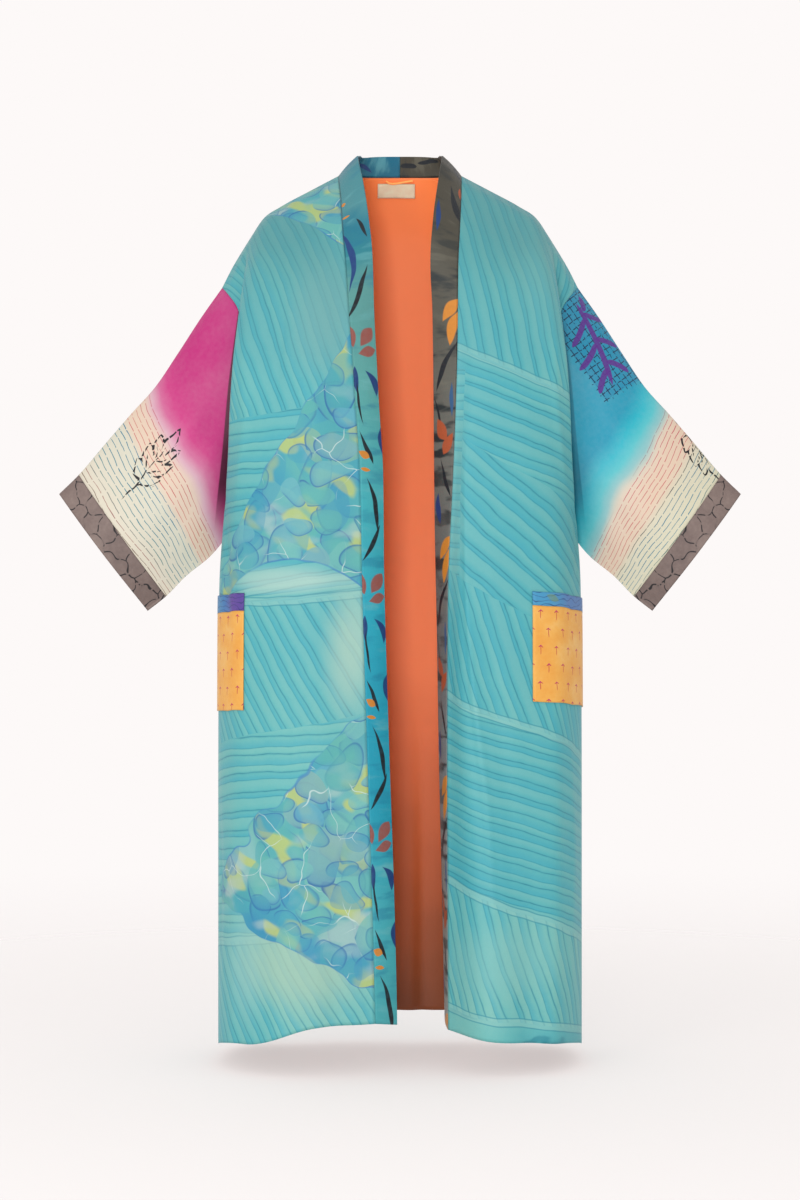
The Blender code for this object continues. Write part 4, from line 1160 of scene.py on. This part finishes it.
# Taupe silk with a crackle of broken black lines, in cells about three centimetres wide.
finish, place, along, round_it, cloudy, fine = new_finish("taupe_cuff_silk", (22, 3), (170, 2))
colour = (cloudy * 0.8 + fine * 0.3).ramp(
    (0.2, 110, 94, 90), (0.5, 130, 112, 107), (0.8, 148, 130, 123),
)
apart = place.shaken(45, 0.014).edges(36, 0.8)
colour = colour.under(
    (70, 62, 64), apart.step(0.09, 0) * 0.15,
    (20, 20, 26), apart.step(0.034, 0.018) * place.broken(0.017, 0.045) * 0.95,
)
taupe = woven(finish, colour, place, 0.0005, 0.00004, fine * 0.0003 + cloudy * 0.0005, 0.55, 0.05)

CUFF = 0.0016
SEAM_THINNING, SEAM_SHARE = 5, 0.02
for side, side_name in SIDE_NAMES.items():
    points = sleeve_grid(side, np.linspace(0, 1, 91))
    thin = np.tile(np.concatenate([RING[::-1], RING[1:-1]]), (len(points), 1))
    thin = np.clip(np.sin(np.pi * thin) * SEAM_THINNING, SEAM_SHARE, 1)
    sleeve = cloth(f"silk_sleeve_{side_name}", points[:, :-1], sleeve_flat(points), side == RIGHT, SILK,
                   [SLEEVE_SILKS[side], lining], True, thin)
    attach(sleeve, "root")
    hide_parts(f"sleeve_{side_name}")
    points = sleeve_grid(side, np.linspace(1, SLEEVE_TOP[-1, 0], 15))
    cuff = cloth(f"silk_cuff_{side_name}", points[:, :-1], sleeve_flat(points), side == RIGHT, CUFF,
                 [taupe], True)
    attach(cuff, "root")
    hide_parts(f"cuff_{side_name}")


# The pockets. A patch pocket of yellow silk lies on each side of the front and wraps round towards
# the side seam. Its mouth is bound with a strip of blue and violet silk.
LAID_ON = 0.0008

# A pocket's side, its two edges across the front, its mouth, seam and foot, and how it falls outward.
POCKETS = (
    (RIGHT, 0.505, 0.985, -0.564, -0.587, -0.717, 0.006),
    (LEFT, 0.385, 0.865, -0.561, -0.579, -0.7045, 0.012),
)


def patch_points(side, first, last, top, foot, lower, rise, rows, columns):
    """A piece sewn on a front between two heights, from the front's own points moved out."""
    across = np.linspace(first, last, columns)
    share = (across - first) / (last - first)
    ridge = np.interp(across, FRONT_KNOTS, RIDGE_Z)
    hem = np.interp(across, FRONT_KNOTS, FRONT_HEM_Z[side])
    z = np.linspace(top, foot, rows)[:, None] - lower * share
    down = (z - ridge) / (hem - ridge)
    base = front_points(side, np.broadcast_to(across, z.shape), down)
    return base + normals_of(base) * (side * rise)


# Yellow silk printed in half-drop rows with small stemmed marks like arrows, in pink and magenta.
ROW_PITCH, COLUMN_PITCH = 0.0232, 0.024
finish, place, across, down, cloudy, fine = new_finish("yellow_pocket_silk", (30, 3), (200, 2))
colour = (cloudy * 0.8 + fine * 0.2).ramp(
    (0.25, 248, 172, 72), (0.5, 252, 186, 88), (0.75, 255, 202, 118),
)
across, down = place.shaken(60, 0.0025, 0).split()
row, within_row = (down / ROW_PITCH).parted()
within_column = (across / COLUMN_PITCH + row * 0.5).parted()[1]
spot = place.add("CombineXYZ", None, {
    0: (within_column - 0.5) * COLUMN_PITCH, 1: (within_row - 0.5) * ROW_PITCH,
})
arms = spot.daub(-1.7, -3, 2.4, 0.8, -30).most(spot.daub(2.1, -3, 2.4, 0.8, 30))
colour = colour.under(
    (206, 76, 66), spot.daub(0.3, 1.4, 5.8, 0.7, 88, 0.5, 0, True) * 0.85,
    (200, 50, 80), arms * 0.95,
    (196, 36, 112), spot.daub(0.2, -4, 1.5, 1.3),
)
yellow = woven(finish, colour, place, 0.0005, 0.00004, fine * 0.0003 + cloudy * 0.0005, 0.5, 0.05)


TRIM_LENGTH = 0.06
WAVE_PITCH = 0.0065


def trim_silk(name, stops, stain=None):
    """A pocket's binding: blue silk with thin dark waves, going violet on the wearer's right."""
    finish, place, across, down, cloudy, fine = new_finish(name, (34, 3), (200, 2))
    colour = (across / TRIM_LENGTH + (cloudy - 0.5) * 0.5).ramp(*stops)
    wave = down / WAVE_PITCH + (place.noise(50) - 0.5) * 2.2 + across * 14
    colour = colour.under((26, 50, 110), abs(wave - wave.math("ROUND")).step(0.1, 0.03) * 0.7)
    if stain:
        colour = colour.under((120, 152, 96), place.daub(*stain) * cloudy * 1.3)
    return woven(finish, colour, place, 0.0005, 0.00004, fine * 0.0003, 0.5, 0.05)


TRIM_SILKS = {
    RIGHT: trim_silk("blue_trim_silk_right", (
        (0, 94, 72, 160), (0.4, 106, 78, 166), (0.75, 72, 134, 194), (1, 74, 146, 198),
    )),
    LEFT: trim_silk("blue_trim_silk_left", (
        (0, 72, 160, 206), (0.5, 78, 158, 204), (0.8, 86, 148, 202), (1, 92, 138, 198),
    ), (30, 7, 11, 5, 20)),
}
for side, first, last, opening, seam, foot, lower in POCKETS:
    side_name = SIDE_NAMES[side]
    for name, finish, top, end, thickness, rows, slot in (
        ("pocket", yellow, seam, foot, 0.001, 45, "yellow_pocket_silk"),
        ("pocket_trim", TRIM_SILKS[side], opening, seam, 0.0012, 9, "blue_trim_silk"),
    ):
        points = patch_points(side, first, last, top, end, lower, LAID_ON + thickness, rows, 45)
        piece = cloth(f"silk_{name}_{side_name}", points, flat_lengths(points), side == LEFT,
                      thickness, [finish])
        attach(piece, "root")
        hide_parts(f"{name}_{side_name}")
        max(top - end, 0.02)


# The neck label and the hanging loop. A bare woven cotton label is sewn on the lining under the neck
# seam, and a thin orange loop of lining cloth hangs over it from the seam.
LABEL_ENDS = (-0.098, 0.065)
LABEL_TOPS = (0.0053, 0.0058)
LABEL_DEPTH = 0.016
LABEL_LENGTH = 0.0211
LABEL_LAID_ON = 0.0024
LABEL = 0.0007

# Cream cotton tape, darker along its two selvedges.
finish, place, across, down, cloudy = new_finish("label_tape", (60, 2))
# Its dyes are reckoned with less light than the silks', a painted lightening for the shade it lies in under
# the band.
colour = cloudy.ramp((0.3, 226, 212, 180, 0.8), (0.7, 240, 228, 198, 0.8))
edge = down.least(LABEL_LENGTH - down)
colour = colour.under((188, 168, 132, 0.85), edge.step(0.0012, 0.0004) * 0.6)
tape = woven(finish, colour, place, 0.00035, 0.00015, 0, 0.8, 0.1, 0.3)
across = np.repeat(np.linspace(*LABEL_ENDS, 25)[None], 9, axis=0)
down = np.interp(across, LABEL_ENDS, LABEL_TOPS) + LABEL_DEPTH * np.linspace(0, 1, 9)[:, None]
points = back_points(across, down, LINING_DEPTH + LABEL_LAID_ON)
label = cloth("neck_tape", points, flat_lengths(points), True, LABEL, [tape])
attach(label, "root")
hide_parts("neck_label")

# The lining's own orange, cut in a narrow strip and turned into a tube. Its route: across, and down.
LOOP_RADIUS = 0.0014
LOOP_LAID_ON = 0.0028
LOOP_ROUTE = np.array([
    (-0.062, 0.0024), (-0.048, 0.0048), (-0.033, 0.0056), (-0.009, 0.005), (0.022, 0.0036), (0.056, 0.0022),
])
finish, place, across, down, cloudy = new_finish("loop_silk", (90, 2))
# Its dyes are reckoned with less light than the lining's, a painted lightening that makes it brighter than
# the cloth it is cut from.
colour = cloudy.ramp((0.3, 240, 140, 66, 0.8), (0.7, 252, 172, 96, 0.8))
loop_silk = woven(finish, colour, place, 0.0005, 0, cloudy * 0.0002, 0.5, 0.1)
route_at = np.linspace(0, len(LOOP_ROUTE) - 1, 31)
across, down = (np.interp(route_at, np.arange(len(LOOP_ROUTE)), part) for part in LOOP_ROUTE.T)

# A second row just below the route gives the cloth's normals along it.
across, down = np.vstack([across, across]), np.vstack([down, down + 0.001])
route = back_points(across, down, LINING_DEPTH + LOOP_LAID_ON)[0]
curve = bpy.data.curves.new("hanging_cord", "CURVE")
curve.dimensions = "3D"
curve.bevel_depth = LOOP_RADIUS
curve.bevel_resolution = 4
curve.use_fill_caps = True
spline = curve.splines.new("POLY")
spline.points.add(len(route) - 1)
spline.points.foreach_set("co", np.hstack([route, np.ones((len(route), 1))]).ravel())
curve.materials.append(loop_silk)
loop = placed("hanging_cord", curve)
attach(loop, "root")
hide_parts("hanging_loop")


# The studio. The robe hangs as if worn just over a plain pale floor, which fades into the white round
# it. A large lamp before it and a wider one beside that light it.
FLOOR_Z = -1.19
FLOOR_RADIUS = 2.6
FADE_FROM = 0.4
bpy.ops.mesh.primitive_circle_add(
    vertices=96, radius=FLOOR_RADIUS, fill_type="NGON", location=(0, 0, FLOOR_Z))
floor = bpy.context.object
floor.name = "floor"
paper = bpy.data.materials.new("paper")
paper.use_nodes = True
paper.node_tree.nodes.clear()
place = Paint(paper.node_tree).add("TexCoord", output=3)
cover = place.vector("LENGTH", output=1).step(FLOOR_RADIUS, FADE_FROM) * 0.5
sheet = place.add("BsdfPrincipled", None, {
    "Base Color": dye(235, 231, 230, 1), "Roughness": 0.9, "Alpha": cover,
})
place.add("OutputMaterial", None, {"Surface": sheet})
floor.data.materials.append(paper)

world = bpy.data.worlds.new("studio")
bpy.context.scene.world = world
world.use_nodes = True
background = world.node_tree.nodes["Background"]
background.inputs["Color"].default_value = dye(253, 249, 248, 1)
background.inputs["Strength"].default_value = 1

AIM = (0, 0, -0.55)
for name, place, size, power in (
    ("key", (-0.3, -3.9, -0.55), 0.8, 70),
    ("side", (-2.2, -3.2, 0.4), 1.6, 30),
):
    lamp = placed(name, bpy.data.lights.new(name, "AREA"))
    lamp.data.size = size
    lamp.data.energy = power
    lamp.location = place
    lamp.rotation_euler = (Vector(AIM) - Vector(place)).to_track_quat("-Z", "Y").to_euler()
